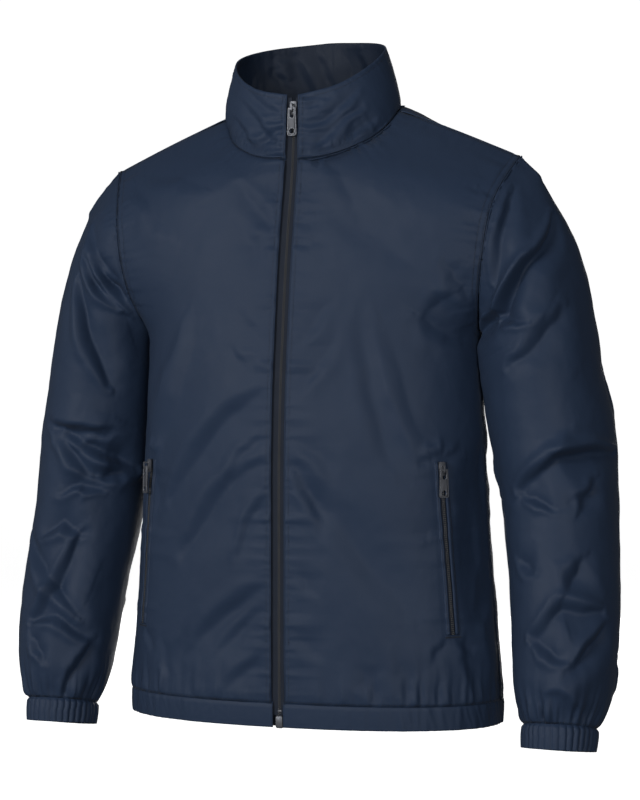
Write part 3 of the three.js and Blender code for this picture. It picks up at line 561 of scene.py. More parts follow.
pocketSeam = {"dip": 0, "stitch": 9, "pucker": 0.9, "peak": 14, "length": 18, "fine": 0, "seed": 31}
cuffSeam = {"dip": 0.5, "stitch": 0, "pucker": 3.2, "peak": 9, "length": 12, "fine": 0.6, "seed": 23}


def bodySeamAt(place):
    x, y, z = abs(place.x), place.y, place.z
    if z < -661.5:
        return "hem"
    if x < 8 and z < -60 and y < 0:
        return "zip"
    if z < -256 and x > 185:
        return "side"
    if (x / 103) ** 2 + ((y + 18) / 73) ** 2 < 1.04:
        return "neck"
    return "shoulder" if abs(y + 22.5) < 2.5 and z > -63 else "armhole"


def sleeveSeamAt(place):
    return "cuff" if place.z < -660 else "armhole"


def collarSeamAt(place):
    if abs(place.x) < 8.5 and place.y < 0 and place.z > -62:
        return "zip" if place.z < 6 else "top"
    share = (place.x / 103) ** 2 + ((place.y + 18) / 73) ** 2
    return "neck" if share > 0.965 and place.z < 14 else "top"


backSeams = {
    "neck": {**neckSeam, "under": 1.2, "past": 2.6}, "shoulder": shoulderSeam,
    "armhole": armholeSeam, "side": sideSeam, "hem": hemSeam,
}
frontSeams = {
    **backSeams, "zip": zipSeam, "pocket": pocketSeam,
    "shoulder": {**shoulderSeam, "under": 1.2}, "side": {**sideSeam, "under": 1.2},
}

# Creases in mm as (width, depth, lip, path): across the body and level, or round the arm and level
frontLeft = {
    "seed": 1, "crumple": 0.9, "hold": 14, "strength": 1.2, "turn": 1, "seams": frontSeams,
    "creases": [
        (13, -4.0, 0.5, [(150, -241), (172, -255), (198, -272)]),
        (12, -3.2, 0.4, [(179, -184), (201, -222)]),
        (11, -2.6, 0.4, [(186, -215), (160, -236)]),
        (15, -3.4, 0.4, [(87, -250), (98, -310), (125, -398)]),
        (17, -3.4, 0.4, [(111, -248), (132, -300), (156, -376)]),
        (12, 2.4, 0.0, [(104, -262), (122, -330), (146, -400)]),
        (18, -2.6, 0.4, [(50, -441), (96, -505), (140, -562)]),
        (14, -3.6, 0.5, [(193, -400), (199, -480), (207, -571)]),
        (10, -2.4, 0.5, [(205, -380), (203, -440)]),
        (9, -2.0, 0.5, [(21, -269), (40, -243), (57, -222)]),
        (10, -2.4, 0.5, [(21, -322), (42, -296), (59, -267)]),
        (9, -2.0, 0.5, [(21, -376), (46, -392), (62, -420)]),
        (10, -2.4, 0.5, [(21, -420), (40, -446), (52, -478)]),
        (9, -1.8, 0.5, [(21, -520), (44, -545)]),
        (9, -1.8, 0.5, [(21, -590), (48, -612)]),
        (20, -1.8, 0.3, [(60, -130), (110, -160), (150, -196)]),
        (12, -2.0, 0.4, [(40, -66), (64, -92), (74, -120)]),
        (12, -2.2, 0.4, [(130, -610), (148, -655)]),
        (12, -2.2, 0.4, [(92, -620), (104, -656)]),
        (6, 2.8, 0.0, [(197, -440), (203, -500), (200, -560)]),
        (6, 2.6, 0.0, [(212, -520), (208, -580), (214, -640)]),
        (5, -2.2, 0.5, [(196, -590), (203, -650)]),
        (7, -3.0, 0.5, [(12, -396), (30, -420), (52, -462)]),
        (4, 2.6, 0.0, [(167, -391), (158, -378)]),
        (3.5, 2.4, 0.0, [(171, -390), (171, -374)]),
        (4, 2.6, 0.0, [(175, -391), (185, -379)]),
        (4, -1.6, 0.5, [(163, -398), (150, -396)]),
        (5, -2.0, 0.5, [(188, -592), (202, -606)]),
        (5, -2.0, 0.5, [(178, -592), (166, -612)]),
    ],
}
frontRight = {
    "seed": 2, "crumple": 0.9, "hold": 14, "strength": 1.2, "turn": -1, "seams": frontSeams,
    "creases": [
        (14, -4.2, 0.5, [(20, -324), (58, -346), (100, -392), (138, -443)]),
        (13, -4.4, 0.5, [(20, -398), (60, -424), (84, -456), (118, -503)]),
        (9, -2.6, 0.5, [(20, -372), (44, -390), (60, -420)]),
        (12, -4.0, 0.5, [(20, -534), (65, -570), (104, -603)]),
        (10, -3.4, 0.5, [(20, -560), (76, -611)]),
        (9, -2.8, 0.5, [(21, -615), (62, -647)]),
        (16, 3.4, 0.0, [(120, -235), (140, -290), (170, -354)]),
        (15, -2.6, 0.3, [(104, -262), (126, -330), (160, -400)]),
        (8, -1.8, 0.5, [(20, -296), (44, -292), (62, -276)]),
        (8, -1.6, 0.5, [(20, -262), (40, -250), (56, -232)]),
        (10, -2.0, 0.5, [(20, -182), (38, -160), (58, -132)]),
        (10, -2.2, 0.5, [(20, -140), (40, -112), (62, -92)]),
        (16, -2.6, 0.4, [(204, -84), (176, -112), (140, -146)]),
        (13, -1.8, 0.4, [(190, -72), (140, -78), (110, -90)]),
        (10, -2.6, 0.4, [(170, -400), (160, -440), (168, -480)]),
        (10, -2.2, 0.4, [(150, -600), (138, -650)]),
        (11, -2.4, 0.4, [(118, -588), (126, -640)]),
        (7, -3.2, 0.5, [(12, -430), (34, -462), (50, -504)]),
        (4, 2.6, 0.0, [(167, -391), (158, -378)]),
        (3.5, 2.4, 0.0, [(171, -390), (171, -374)]),
        (5, -2.0, 0.5, [(178, -592), (166, -612)]),
    ],
}
backPanel = {
    "seed": 3, "crumple": 1.0, "hold": 14, "strength": 1.2, "turn": 1, "seams": backSeams,
    "creases": [
        (15, 3.6, 0.0, [(216, -256), (215, -320), (214, -400)]),
        (15, -4.4, 0.5, [(192, -262), (130, -300), (70, -345)]),
        (14, -4.0, 0.5, [(196, -330), (140, -372), (62, -400)]),
        (14, -4.4, 0.5, [(198, -392), (120, -430), (36, -462)]),
        (13, -3.4, 0.5, [(200, -470), (130, -500), (70, -540)]),
        (14, -4.0, 0.5, [(-192, -268), (-120, -312), (-58, -332)]),
        (15, -4.4, 0.5, [(-196, -345), (-120, -392), (-48, -428)]),
        (13, -3.4, 0.5, [(-200, -432), (-110, -470), (-38, -482)]),
        (14, -3.4, 0.5, [(-150, -562), (-70, -548), (22, -530)]),
        (15, -3.0, 0.4, [(206, -205), (150, -190), (60, -150)]),
        (15, -2.8, 0.4, [(-206, -210), (-140, -180), (-52, -150)]),
        (12, 2.6, 0.0, [(170, -290), (110, -330), (60, -372)]),
        (12, 2.6, 0.0, [(-176, -300), (-120, -345), (-70, -372)]),
        (12, -2.6, 0.4, [(60, -600), (76, -655)]),
        (12, -2.6, 0.4, [(-20, -596), (-30, -655)]),
        (12, -2.6, 0.4, [(-96, -604), (-110, -655)]),
        (12, -2.6, 0.4, [(140, -598), (150, -655)]),
        (18, -2.0, 0.3, [(-30, 0), (-50, -60), (-40, -110)]),
        (18, -2.0, 0.3, [(40, -4), (64, -60), (50, -104)]),
    ],
}
sleeveSeams = {"armhole": {**sleeveHeadSeam, "under": 0.7}, "cuff": cuffSeam}
sleeveLeft = {
    "seed": 4, "crumple": 1.1, "hold": 12, "strength": 2.0, "turn": 1, "seams": sleeveSeams,
    "creases": [
        (20, 2.95, 0.0, [(22, -262), (20, -320), (20, -388)]),
        (16, 4.3, 0.0, [(26, -238), (19, -266), (16, -300)]),
        (8, -4.6, 0.6, [(97, -182), (66, -237), (10, -258)]),
        (9, -5.4, 0.6, [(160, -132), (102, -184), (65, -241)]),
        (8, -3.8, 0.5, [(81, -99), (76, -150), (67, -202)]),
        (7, -3.2, 0.5, [(65, -241), (93, -248)]),
        (11, -3.8, 0.4, [(131, -234), (104, -266), (76, -296)]),
        (10, 4.6, 0.0, [(114, -367), (98, -392), (80, -417)]),
        (9, -6.2, 0.6, [(175, -390), (140, -388), (103, -393), (69, -429)]),
        (7, -3.2, 0.5, [(69, -433), (98, -447)]),
        (9, -3.2, 0.4, [(139, -418), (120, -450)]),
        (8, -2.8, 0.5, [(54, -503), (74, -516)]),
        (10, -3.8, 0.4, [(123, -503), (105, -535)]),
        (9, -4.2, 0.5, [(144, -558), (101, -554), (72, -584)]),
        (8, -3.8, 0.5, [(70, -586), (105, -607)]),
        (9, -3.8, 0.5, [(151, -571), (128, -596), (107, -618)]),
        (8, 3.4, 0.0, [(82, -638), (101, -636), (127, -655)]),
        (9, -4.0, 0.5, [(300, -396), (262, -404), (222, -430)]),
        (9, -3.6, 0.5, [(330, -352), (286, -372), (240, -366)]),
        (9, -3.4, 0.5, [(310, -470), (270, -452), (240, -458)]),
        (9, -3.4, 0.5, [(330, -560), (290, -584), (240, -570)]),
        (10, -4.0, 0.5, [(350, -270), (300, -236), (262, -190)]),
        (10, -3.4, 0.5, [(340, -300), (290, -290), (250, -250)]),
        (9, -3.4, 0.5, [(20, -430), (4, -402)]),
        (9, -3.0, 0.5, [(200, -300), (206, -350)]),
        (9, -3.0, 0.5, [(190, -610), (222, -640)]),
    ],
}
sleeveRight = {
    "seed": 5, "crumple": 1.1, "hold": 12, "strength": 2.0, "turn": -1, "seams": sleeveSeams,
    "creases": [
        (9, -4.4, 0.5, [(108, -133), (84, -164), (56, -193)]),
        (8, -6.4, 0.6, [(84, -175), (62, -202), (38, -227)]),
        (8, -5.0, 0.6, [(101, -163), (82, -196), (56, -222)]),
        (10, -5.2, 0.5, [(104, -192), (84, -250), (60, -312)]),
        (9, 4.0, 0.0, [(112, -352), (86, -357), (60, -362)]),
        (9, -4.4, 0.4, [(112, -362), (84, -370), (60, -372)]),
        (9, -5.4, 0.5, [(107, -368), (90, -390), (71, -414)]),
        (9, -6.2, 0.6, [(95, -370), (58, -394), (16, -409)]),
        (11, -5.4, 0.4, [(60, -420), (20, -414)]),
        (8, -3.6, 0.5, [(96, -439), (76, -428), (55, -437)]),
        (9, -4.2, 0.5, [(114, -490), (90, -472), (68, -486)]),
        (9, -4.2, 0.5, [(134, -493), (83, -547), (57, -579)]),
        (9, -4.2, 0.5, [(68, -486), (83, -547), (110, -586)]),
        (8, -3.6, 0.5, [(113, -586), (82, -578), (38, -608)]),
        (8, -3.2, 0.5, [(110, -604), (91, -630)]),
        (8, -3.2, 0.5, [(35, -613), (61, -659)]),
        (10, -4.0, 0.5, [(300, -390), (262, -402), (225, -428)]),
        (9, -3.4, 0.5, [(322, -562), (286, -548), (250, -530)]),
        (9, -3.4, 0.5, [(330, -350), (280, -346), (240, -372)]),
        (10, -4.0, 0.5, [(350, -266), (300, -230), (262, -196)]),
        (9, -3.2, 0.5, [(300, -470), (250, -490)]),
        (9, -3.0, 0.5, [(180, -400), (200, -440), (190, -480)]),
        (9, -3.0, 0.5, [(170, -560), (186, -610)]),
    ],
}
collarCloth = {
    "seed": 6, "crumple": 0.5, "hold": 9, "strength": 1.3, "turn": 1,
    "seams": {
        "neck": {**neckSeam, "pucker": 0.9}, "zip": zipSeam,
        "top": {"dip": 0.3, "stitch": 5.5, "pucker": 0.35, "peak": 7, "length": 16, "fine": 0.5, "seed": 29},
    },
    "creases": [
        (7, -2.6, 0.6, [(-20, -30), (-44, -46), (-60, -40)]),
        (7, -2.8, 0.6, [(-16, -50), (-40, -28), (-66, 4)]),
        (6, -2.4, 0.6, [(-52, -48), (-78, -14)]),
        (7, -2.8, 0.6, [(20, -26), (44, -12), (66, 10)]),
        (7, -3.0, 0.6, [(22, -54), (48, -26), (70, -6)]),
        (6, -2.6, 0.6, [(60, -42), (82, -20)]),
        (8, -2.0, 0.5, [(18, -8), (40, 6)]),
        (8, -2.0, 0.5, [(-18, -12), (-40, 0), (-62, 22)]),
        (14, 3.4, 0.0, [(-99, -34), (-94, 4), (-88, 34)]),
        (9, -3.0, 0.5, [(360, 78), (372, 50), (388, 22)]),
        (8, -2.4, 0.5, [(384, 80), (398, 58), (404, 34)]),
        (10, 2.4, 0.0, [(412, 76), (424, 52), (430, 26)]),
        (8, -2.6, 0.5, [(438, 72), (450, 54), (456, 30)]),
        (8, -2.0, 0.5, [(336, 66), (346, 42)]),
    ],
}


clothRuns = {}
pocket = {
    "top": (171, -398), "end": (184, -586), "reach": 6.4, "steps": 96,
    "welt": (2.9, 8.2), "weltLift": 1.7, "coil": (-2.9, 2.9), "coilLift": 0.6,
    "stitch": 6.4, "barHalf": 9, "barAt": 1.012, "length": 188,
    "barBead": (0.5, 0.8, 0.5), "barSpacing": 1.2, "teethShares": (0.06, 0.995),
}


def skinTree(piece):
    faces = [p.vertices for p in piece.data.polygons]
    return BVHTree.FromPolygons([v.co for v in piece.data.vertices], faces)


def hitFront(tree, x, z):
    return tree.ray_cast(Vector((x * mm, -1, z * mm)), Vector((0, 1, 0)))[0]


class PocketRun:
    # The pocket's opening, measured along like a seam's rim
    closed = False

    def __init__(self, tree, side):
        shares = np.linspace(0, 1, 48)
        (topX, topZ), (endX, endZ) = pocket["top"], pocket["end"]
        places = [((topX + (endX - topX) * s) * side, topZ + (endZ - topZ) * s) for s in shares]
        self.at = [hitFront(tree, x, z) for x, z in places]
        self.along = [s * (topZ - endZ) * mm for s in shares]


def makeBodyPanel(node, key, plan, side):
    piece = refine(skinMesh(node, (0, -20, -300)), key + "Cloth", 3)
    places = pointsOf(piece) / mm
    runs = clothRuns[key] = seamRuns(piece, bodySeamAt)
    if key != "back":
        runs["pocket"] = [PocketRun(skinTree(piece), side)]
    around = np.arctan2(places[:, 0], -(places[:, 1] + 20)) * 0.17
    layWeave(piece, around)
    shapeCloth(piece, places[:, 0] * side, places[:, 2], plan, runs)
    finishCloth(piece, 1.1, navyCloth)
    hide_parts(node)
    return piece


cap = {"low": -150, "rounds": 24}


def softenCap(piece):
    # The top of the sleeve is evened out within its rim
    bm = bmesh.new()
    bm.from_mesh(piece.data)
    soft = [v for v in bm.verts if v.co.z > cap["low"] * mm and not v.is_boundary]
    for _ in range(cap["rounds"]):
        bmesh.ops.smooth_vert(bm, verts=soft, factor=0.5, use_axis_x=True, use_axis_y=True, use_axis_z=True)
    bm.to_mesh(piece.data)
    bm.free()


def makeSleeve(node, key, plan, side):
    piece = refine(skinMesh(node, (285 * side, -25, -400)), key + "Cloth", 3)
    softenCap(piece)
    places = pointsOf(piece) / mm
    angle = sleeveAngle(places, side)
    runs = clothRuns[key] = seamRuns(piece, sleeveSeamAt)
    layWeave(piece, angle * 1.15 * mm)
    plan = {**plan, "creases": [(w, d, l, [(a * 1.15, z) for a, z in p]) for w, d, l, p in plan["creases"]]}
    shapeCloth(piece, angle * 1.15, places[:, 2], plan, runs, closedAt=414)
    finishCloth(piece, 1.1, navyCloth)
    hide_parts(node)
    return piece


def makeCollar():
    piece = refine(skinMesh("collar", (0, -20, -60)), "collarCloth", 3)
    places = pointsOf(piece) / mm
    layWeave(piece, np.arctan2(places[:, 0], -(places[:, 1] + 20)) * 0.09)
    across = np.where(places[:, 1] < 25, places[:, 0], places[:, 0] + 400)
    clothRuns["collar"] = seamRuns(piece, collarSeamAt)
    shapeCloth(piece, across, places[:, 2], collarCloth, clothRuns["collar"])
    finishCloth(piece, 2.0, navyCloth)
    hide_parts("collar")
    return piece


clothPieces = {
    "frontLeft": makeBodyPanel("front_left", "frontLeft", frontLeft, 1),
    "frontRight": makeBodyPanel("front_right", "frontRight", frontRight, -1),
    "back": makeBodyPanel("back", "back", backPanel, 1),
    "sleeveLeft": makeSleeve("sleeve_left", "sleeveLeft", sleeveLeft, 1),
    "sleeveRight": makeSleeve("sleeve_right", "sleeveRight", sleeveRight, -1),
    "collar": makeCollar(),
}
print("cloth shaped")


# Hem band and cuffs: the plain inside skins of their solids, moved out and gathered unevenly

hemBand = {
    "rows": 3, "out": 1.7, "gather": 1.0, "step": 5.2, "calm": 0.25, "belly": 0.3, "droop": 0, "seed": 41,
    "flat": (1.16, 0.026),
}
cuff = {
    "rows": 5, "out": 1.2, "pleats": 33, "pleatDepth": 2.5, "belly": 0.7, "droop": 3.2, "seed": 47,
    "flat": (0.37, 0.025),
}
tuck = {"reach": 2.4, "up": 2.6, "inwards": 2.0}


def gatherAt(along, up, total):
    fromZip = np.minimum(along, total - along) / total
    strength = hemBand["calm"] + np.clip((fromZip - 0.03) / 0.13, 0, 1) * (1 - hemBand["calm"])
    waves = wander(along, hemBand["seed"], hemBand["step"])
    waves = waves + 0.7 * wander(along + up * 0.3, hemBand["seed"] + 3, hemBand["step"] * 0.5)
    return hemBand["gather"] * strength * waves


def pleatAt(along, up, total):
    turns = along / total * cuff["pleats"] * math.pi
    drift = 1.5 * wander(along, cuff["seed"], total / 9)
    drift = drift + 0.35 * wander(up + along * 0.2, cuff["seed"] + 2, 9)
    ridge = np.abs(np.sin(turns + drift)) ** 0.55
    taller = 0.8 + 0.5 * wander(along, cuff["seed"] + 5, total / 31)
    return cuff["pleatDepth"] * ridge * taller


def makeBand(node, name, centre, plan, heightAt):
    piece = refine(skinMesh(node, centre, inside=True, rows=plan["rows"]), name, 2)
    places = pointsOf(piece) / mm
    rims = seamRuns(piece, lambda place: "rim")["rim"]
    top = max(rims, key=lambda r: max(p.z for p in r.at))
    if len(rims) > 1:
        bottom = min(rims, key=lambda r: min(p.z for p in r.at))
        offTop, _ = fromRuns([v.co for v in piece.data.vertices], [top])
        offEnd, along = fromRuns([v.co for v in piece.data.vertices], [bottom])
        total = bottom.along[-1]
    else:
        levels = places[:, 2]
        around = np.arctan2(-places[:, 0], places[:, 1] + 20)
        order = np.sort(np.unique(np.round(around, 4)))
        offTop = (levels.max() - levels) * mm
        offEnd = (levels - levels.min()) * mm
        total = plan["flat"][0]
        along = (around - order[0]) / (order[-1] - order[0]) * total
    offTop, offEnd, along, total = offTop / mm, offEnd / mm, along / mm, total / mm
    share = offEnd / (offEnd + offTop)
    layWeave(piece, along * mm)
    height = plan["out"] + heightAt(along, offEnd, total) + plan["belly"] * np.sin(math.pi * share)
    tucked = np.clip(1 - offTop / tuck["reach"], 0, 1)
    height = height * (1 - tucked) + (plan["out"] - tuck["inwards"]) * tucked
    moved = pointsOf(piece) + pointsOf(piece, "normal") * (height * mm)[:, None]
    ahead = np.clip(-pointsOf(piece, "normal")[:, 1], 0, 1)
    moved[:, 2] += (tucked * tuck["up"] - plan["droop"] * ahead * np.clip(1 - offEnd / 9, 0, 1)) * mm
    piece.data.vertices.foreach_set("co", moved.ravel())
    for layer in ("seamRun", "seamNear"):
        piece.data.attributes.new(layer, "FLOAT", "POINT")
    piece.data.update()
    finishCloth(piece, 1.3, navyCloth)
    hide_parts(node)


makeBand("hem_band", "hemBandCloth", (0, -20, -676), hemBand, gatherAt)
makeBand("cuff_left", "cuffLeftCloth", (297.5, -64, -694), cuff, pleatAt)
makeBand("cuff_right", "cuffRightCloth", (-297.5, -64, -694), cuff, pleatAt)
print("bands gathered")


# Metal parts: rounded copies of their solids, the tabs with a raised rim
# The rim's section is a closed run of (distance in from the edge, rise over the face)

tab = {"bead": ((0.02, -0.35), (0.0, 0.12), (0.14, 0.26), (0.7, 0.26), (0.85, -0.1))}
sliderRounding = 0.45
boxRounding = 0.6


def solidCopy(node, joined=True):
    bm = bmesh.new()
    bm.from_mesh(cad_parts[node].data)
    bmesh.ops.remove_doubles(bm, verts=bm.verts, dist=1e-6)
    if joined:
        bmesh.ops.dissolve_limit(bm, angle_limit=math.radians(2), verts=bm.verts, edges=bm.edges)
    return bm


def roundEdges(bm, rounding, sharpest=35):
    sharp = [e for e in bm.edges if len(e.link_faces) == 2 and e.calc_face_angle() > math.radians(sharpest)]
    cut = {"offset": rounding * mm, "offset_type": "OFFSET", "segments": 2, "profile": 0.5}
    bmesh.ops.bevel(bm, geom=sharp, affect="EDGES", material=-1, clamp_overlap=True, **cut)


def metalPiece(bm, name, node, body, materials):
    piece = linkMesh(bm, name)
    for material in materials:
        piece.data.materials.append(material)
    shadeSmooth(piece)
    piece.data.set_sharp_from_angle(angle=math.radians(32))
    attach(piece, body)
    if node:
        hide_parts(node)


def makeTab(node, name, body):
    # The solid, with a raised bead along every edge of its face: its outline, slot and hole
    bm = solidCopy(node, False)
    outward = max(bm.faces, key=lambda f: f.calc_area() if f.normal.y < 0 else 0).normal.copy()
    front = {f for f in bm.faces if f.normal.dot(outward) > 0.95}
    edges = [e for e in bm.edges if sum(f in front for f in e.link_faces) == 1]
    sides = {}
    for edge in edges:
        face = next(f for f in edge.link_faces if f in front)
        a, b = (v.co for v in edge.verts)
        side = outward.cross(b - a).normalized()
        if side.dot(face.calc_center_median() - a) < 0:
            side.negate()
        for v in edge.verts:
            sides.setdefault(v, []).append(side)
    rings = {}
    for v, pair in sides.items():
        inward = sum(pair, Vector()).normalized()
        stretch = 1 / max(0.6, inward.dot(pair[0]))
        moves = [inward * inset * stretch + outward * rise for inset, rise in tab["bead"]]
        rings[v] = [bm.verts.new(v.co + move * mm) for move in moves]
    bead = []
    for a, b in [e.verts for e in edges]:
        for i in range(len(tab["bead"])):
            bead.append(bm.faces.new((rings[a][i - 1], rings[a][i], rings[b][i], rings[b][i - 1])))
    # The raised bead is modelled; its paler metal is painted highlight along the rim
    for face in bead:
        face.material_index = 1
    bmesh.ops.recalc_face_normals(bm, faces=bead)
    metalPiece(bm, name, node, body, (darkMetal, paleMetalPaintedHighlight))


def makeRounded(node, name, rounding, material):
    bm = solidCopy(node)
    roundEdges(bm, rounding)
    metalPiece(bm, name, node, "root", (material,))


makeRounded("zip_slider", "frontSlider", sliderRounding, paleMetalPaintedHighlight)
makeRounded("pocket_left_slider", "pocketLeftSlider", sliderRounding, darkMetal)
makeRounded("pocket_right_slider", "pocketRightSlider", sliderRounding, darkMetal)
makeTab("zip_pull", "frontTab", "zip_tab")
makeTab("pocket_left_pull", "pocketLeftTab", "pocket_left_tab")
makeTab("pocket_right_pull", "pocketRightTab", "pocket_right_tab")
makeRounded("zip_box", "retainingBox", boxRounding, paleMetalPaintedHighlight)

# Each part of the pin as (radius, length, level of its middle)
pin = {"y": -127.0, "rounding": 0.35, "parts": ((1.5, 9, -672.5), (3.4, 2.4, -671.2))}


def makePin():
    # The retaining pin stands up out of the box, with a small collar on it
    bm = bmesh.new()
    for radius, length, level in pin["parts"]:
        place = Matrix.Translation(Vector((0, pin["y"], level)) * mm)
        size = {"radius1": radius * mm, "radius2": radius * mm, "depth": length * mm}
        bmesh.ops.create_cone(bm, cap_ends=True, segments=20, matrix=place, **size)
    roundEdges(bm, pin["rounding"])
    metalPiece(bm, "retainingPin", None, "root", (paleMetalPaintedHighlight,))


makePin()
tapeFoot = {"centre": (-0.6, -124.6, -681.6), "half": (9.4, 6.6), "wall": 0.8}


def makeTapeFoot():
    # The tapes' last stretch, behind the box and down to the hem's edge
    bm = bmesh.new()
    bmesh.ops.create_grid(bm, x_segments=6, y_segments=4, size=1)
    for v in bm.verts:
        along = Vector((v.co.x * tapeFoot["half"][0], 0, v.co.y * tapeFoot["half"][1]))
        v.co = (Vector(tapeFoot["centre"]) + along) * mm
    if bm.faces[:][0].normal.y > 0:
        bmesh.ops.reverse_faces(bm, faces=bm.faces)
    finishCloth(linkMesh(bm, "tapeFoot"), tapeFoot["wall"], tapeCloth)


makeTapeFoot()
for node, material in (("zip_tape_left", tapeCloth), ("zip_tape_right", tapeCloth), ("zip_coil", toothNylon)):
    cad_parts[node].material_slots[0].material = material
print("metal rounded")


# Rows of small beads: zip teeth and stitches

def makeBead():
    bm = bmesh.new()
    bmesh.ops.create_icosphere(bm, subdivisions=1, radius=1)
    mesh = bpy.data.meshes.new("bead")
    bm.to_mesh(mesh)
    bm.free()
    return mesh


beadMesh = makeBead()


def beadRow(bm, points, normals, size, spacing, lift):
    # One bead every spacing along the points, its long side along the row; sizes in mm
    walked, due = 0.0, 0.0
    for i in range(len(points) - 1):
        step = points[i + 1] - points[i]
        length = step.length / mm
        while length > 0 and due <= walked + length:
            at = points[i] + step * ((due - walked) / length)
            along = step.normalized()
            out = (normals[i] - along * normals[i].dot(along)).normalized()
            side = along.cross(out)
            turn = Matrix((side, along, out)).transposed().to_4x4()
            scale = Matrix.Diagonal((*[s * mm for s in size], 1))
            place = Matrix.Translation(at + out * lift * mm) @ turn @ scale
            bead = beadMesh.copy()
            bead.transform(place)
            bm.from_mesh(bead)
            bpy.data.meshes.remove(bead)
            due += spacing
        walked += length


def beadPiece(bm, name, material):
    piece = linkMesh(bm, name)
    piece.data.materials.append(material)
    shadeSmooth(piece)
    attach(piece, "root")


stitch = {"bead": (0.38, 1.1, 0.28), "spacing": 3.0}
teeth = {
    "apart": 0.8, "bead": (0.85, 0.62, 0.6), "pitch": 2.1, "from": -675, "to": -14, "step": 12, "lift": 0.5,
}
tapePoints = pointsOf(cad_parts["zip_tape_left"]) / mm
tapeRows = sorted({round(z, 1) for z in tapePoints[:, 2]})
tapeFronts = [min(p[1] for p in tapePoints if abs(p[2] - z) < 0.2) for z in tapeRows]


def makeTeeth():
    bm = bmesh.new()
    levels = np.arange(teeth["from"], teeth["to"], teeth["step"])
    for side in (-1, 1):
        shift = teeth["pitch"] / 2 if side > 0 else 0
        fronts = np.interp(levels + shift, tapeRows, tapeFronts)
        points = [Vector((side * teeth["apart"], y, z + shift)) * mm for y, z in zip(fronts, levels)]
        normals = [Vector((0, -1, 0))] * len(points)
        beadRow(bm, points, normals, teeth["bead"], teeth["pitch"], teeth["lift"])
    beadPiece(bm, "frontTeeth", toothNylon)


makeTeeth()


# Side pockets: two narrow welts and a coil, laid on the shaped fronts
def pocketPlace(tree, side, share, offset):
    # A place on the cloth at a share of the pocket's length, so far to its side, and the way out of it
    x = (pocket["top"][0] + (pocket["end"][0] - pocket["top"][0]) * share) * side
    z = pocket["top"][1] + (pocket["end"][1] - pocket["top"][1]) * share
    across = hitFront(tree, x + pocket["reach"], z) - hitFront(tree, x - pocket["reach"], z)
    across.normalize()
    at = hitFront(tree, x + across.x * offset, z)
    return at, Vector((across.y, -across.x, 0)).normalized()


def layStrip(tree, side, name, node, span, lift, columns, material, slot):
    bm = bmesh.new()
    bmesh.ops.create_grid(bm, x_segments=columns, y_segments=pocket["steps"], size=1)
    for v in bm.verts:
        across, share = v.co.x, (1 - v.co.y) / 2
        offset = (span[0] + span[1]) / 2 + across * (span[1] - span[0]) / 2
        at, out = pocketPlace(tree, side, share, offset)
        end = min(share, 1 - share) * pocket["length"]
        crown = (1 - 0.7 * across ** 4) * min(1, 0.4 + end / 3)
        if slot == "shell_cloth":
            outer = max(0, across * (1 if span[0] > 0 else -1))  # the outer edge sinks into the panel
            crown = crown * (1 - 0.85 * outer)
        v.co = at + out * lift * crown * mm
    bmesh.ops.recalc_face_normals(bm, faces=bm.faces)
    bm.faces.ensure_lookup_table()
    if bm.faces[0].normal.y > 0:
        bmesh.ops.reverse_faces(bm, faces=bm.faces)
    piece = linkMesh(bm, name)
    layWeave(piece, pointsOf(piece)[:, 0].copy())
    for layer in ("seamRun", "seamNear"):
        piece.data.attributes.new(layer, "FLOAT", "POINT")
    finishCloth(piece, 0.6, material)
    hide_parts(node)


def makePocket(name, node, cloth, side):
    tree = skinTree(cloth)
    low, high = pocket["welt"]
    near, far = (-high, -low), (low, high)
    front, back = (near, far) if side > 0 else (far, near)
    parts = [("WeltFront", "_welt_front", front), ("WeltBack", "_welt_back", back)]
    for part, ending, span in parts:
        lift = pocket["weltLift"]
        layStrip(tree, side, name + part, node + ending, span, lift, 7, navyCloth, "shell_cloth")
    lift = pocket["coilLift"]
    layStrip(tree, side, name + "Tape", node + "_coil", pocket["coil"], lift, 5, tapeCloth, "zip_tape")

    def rowAt(offset, shares, lift):
        found = [pocketPlace(tree, side, s, offset) for s in shares]
        return [at + out * lift * mm for at, out in found], [out for at, out in found]

    bm = bmesh.new()
    for offset in (-teeth["apart"], teeth["apart"]):
        points, normals = rowAt(offset, np.linspace(*pocket["teethShares"], 90), pocket["coilLift"])
        beadRow(bm, points, normals, teeth["bead"], teeth["pitch"], 0.1)
    beadPiece(bm, name + "Teeth", toothNylon)
    bm = bmesh.new()
    for offset in (-pocket["stitch"], pocket["stitch"]):
        points, normals = rowAt(offset, np.linspace(0.01, 0.99, 60), pocket["weltLift"] - 0.1)
        beadRow(bm, points, normals, stitch["bead"], stitch["spacing"], 0)
    span = np.linspace(-pocket["barHalf"], pocket["barHalf"], 12)
    found = [pocketPlace(tree, side, pocket["barAt"], offset) for offset in span]
    for row in (-0.5, 0.5):
        points = [at + Vector((0, 0, row)) * mm for at, out in found]
        beadRow(bm, points, [out for at, out in found], pocket["barBead"], pocket["barSpacing"], 0.3)
    # The pocket stitches take the darker thread: painted shade at the needle holes
    beadPiece(bm, name + "Stitches", threadPaintedShade)


makePocket("pocketLeft", "pocket_left", clothPieces["frontLeft"], 1)
makePocket("pocketRight", "pocket_right", clothPieces["frontRight"], -1)
print("pockets laid")


# Topstitching beside the seams

stitchRows = [
    ("frontLeft", "zip", (3.0, 7.0)), ("frontRight", "zip", (3.0, 7.0)), ("collar", "zip", (3.0, 7.0)),
    ("collar", "top", (5.0,)), ("frontLeft", "armhole", (2.0, 7.5)), ("frontRight", "armhole", (2.0, 7.5)),
    ("back", "armhole", (2.0, 7.5)), ("frontLeft", "shoulder", (4.5,)), ("frontRight", "shoulder", (4.5,)),
    ("frontLeft", "hem", (2.2,)), ("frontRight", "hem", (2.2,)), ("back", "hem", (2.2,)),
    ("sleeveLeft", "cuff", (2.2,)), ("sleeveRight", "cuff", (2.2,)),
]


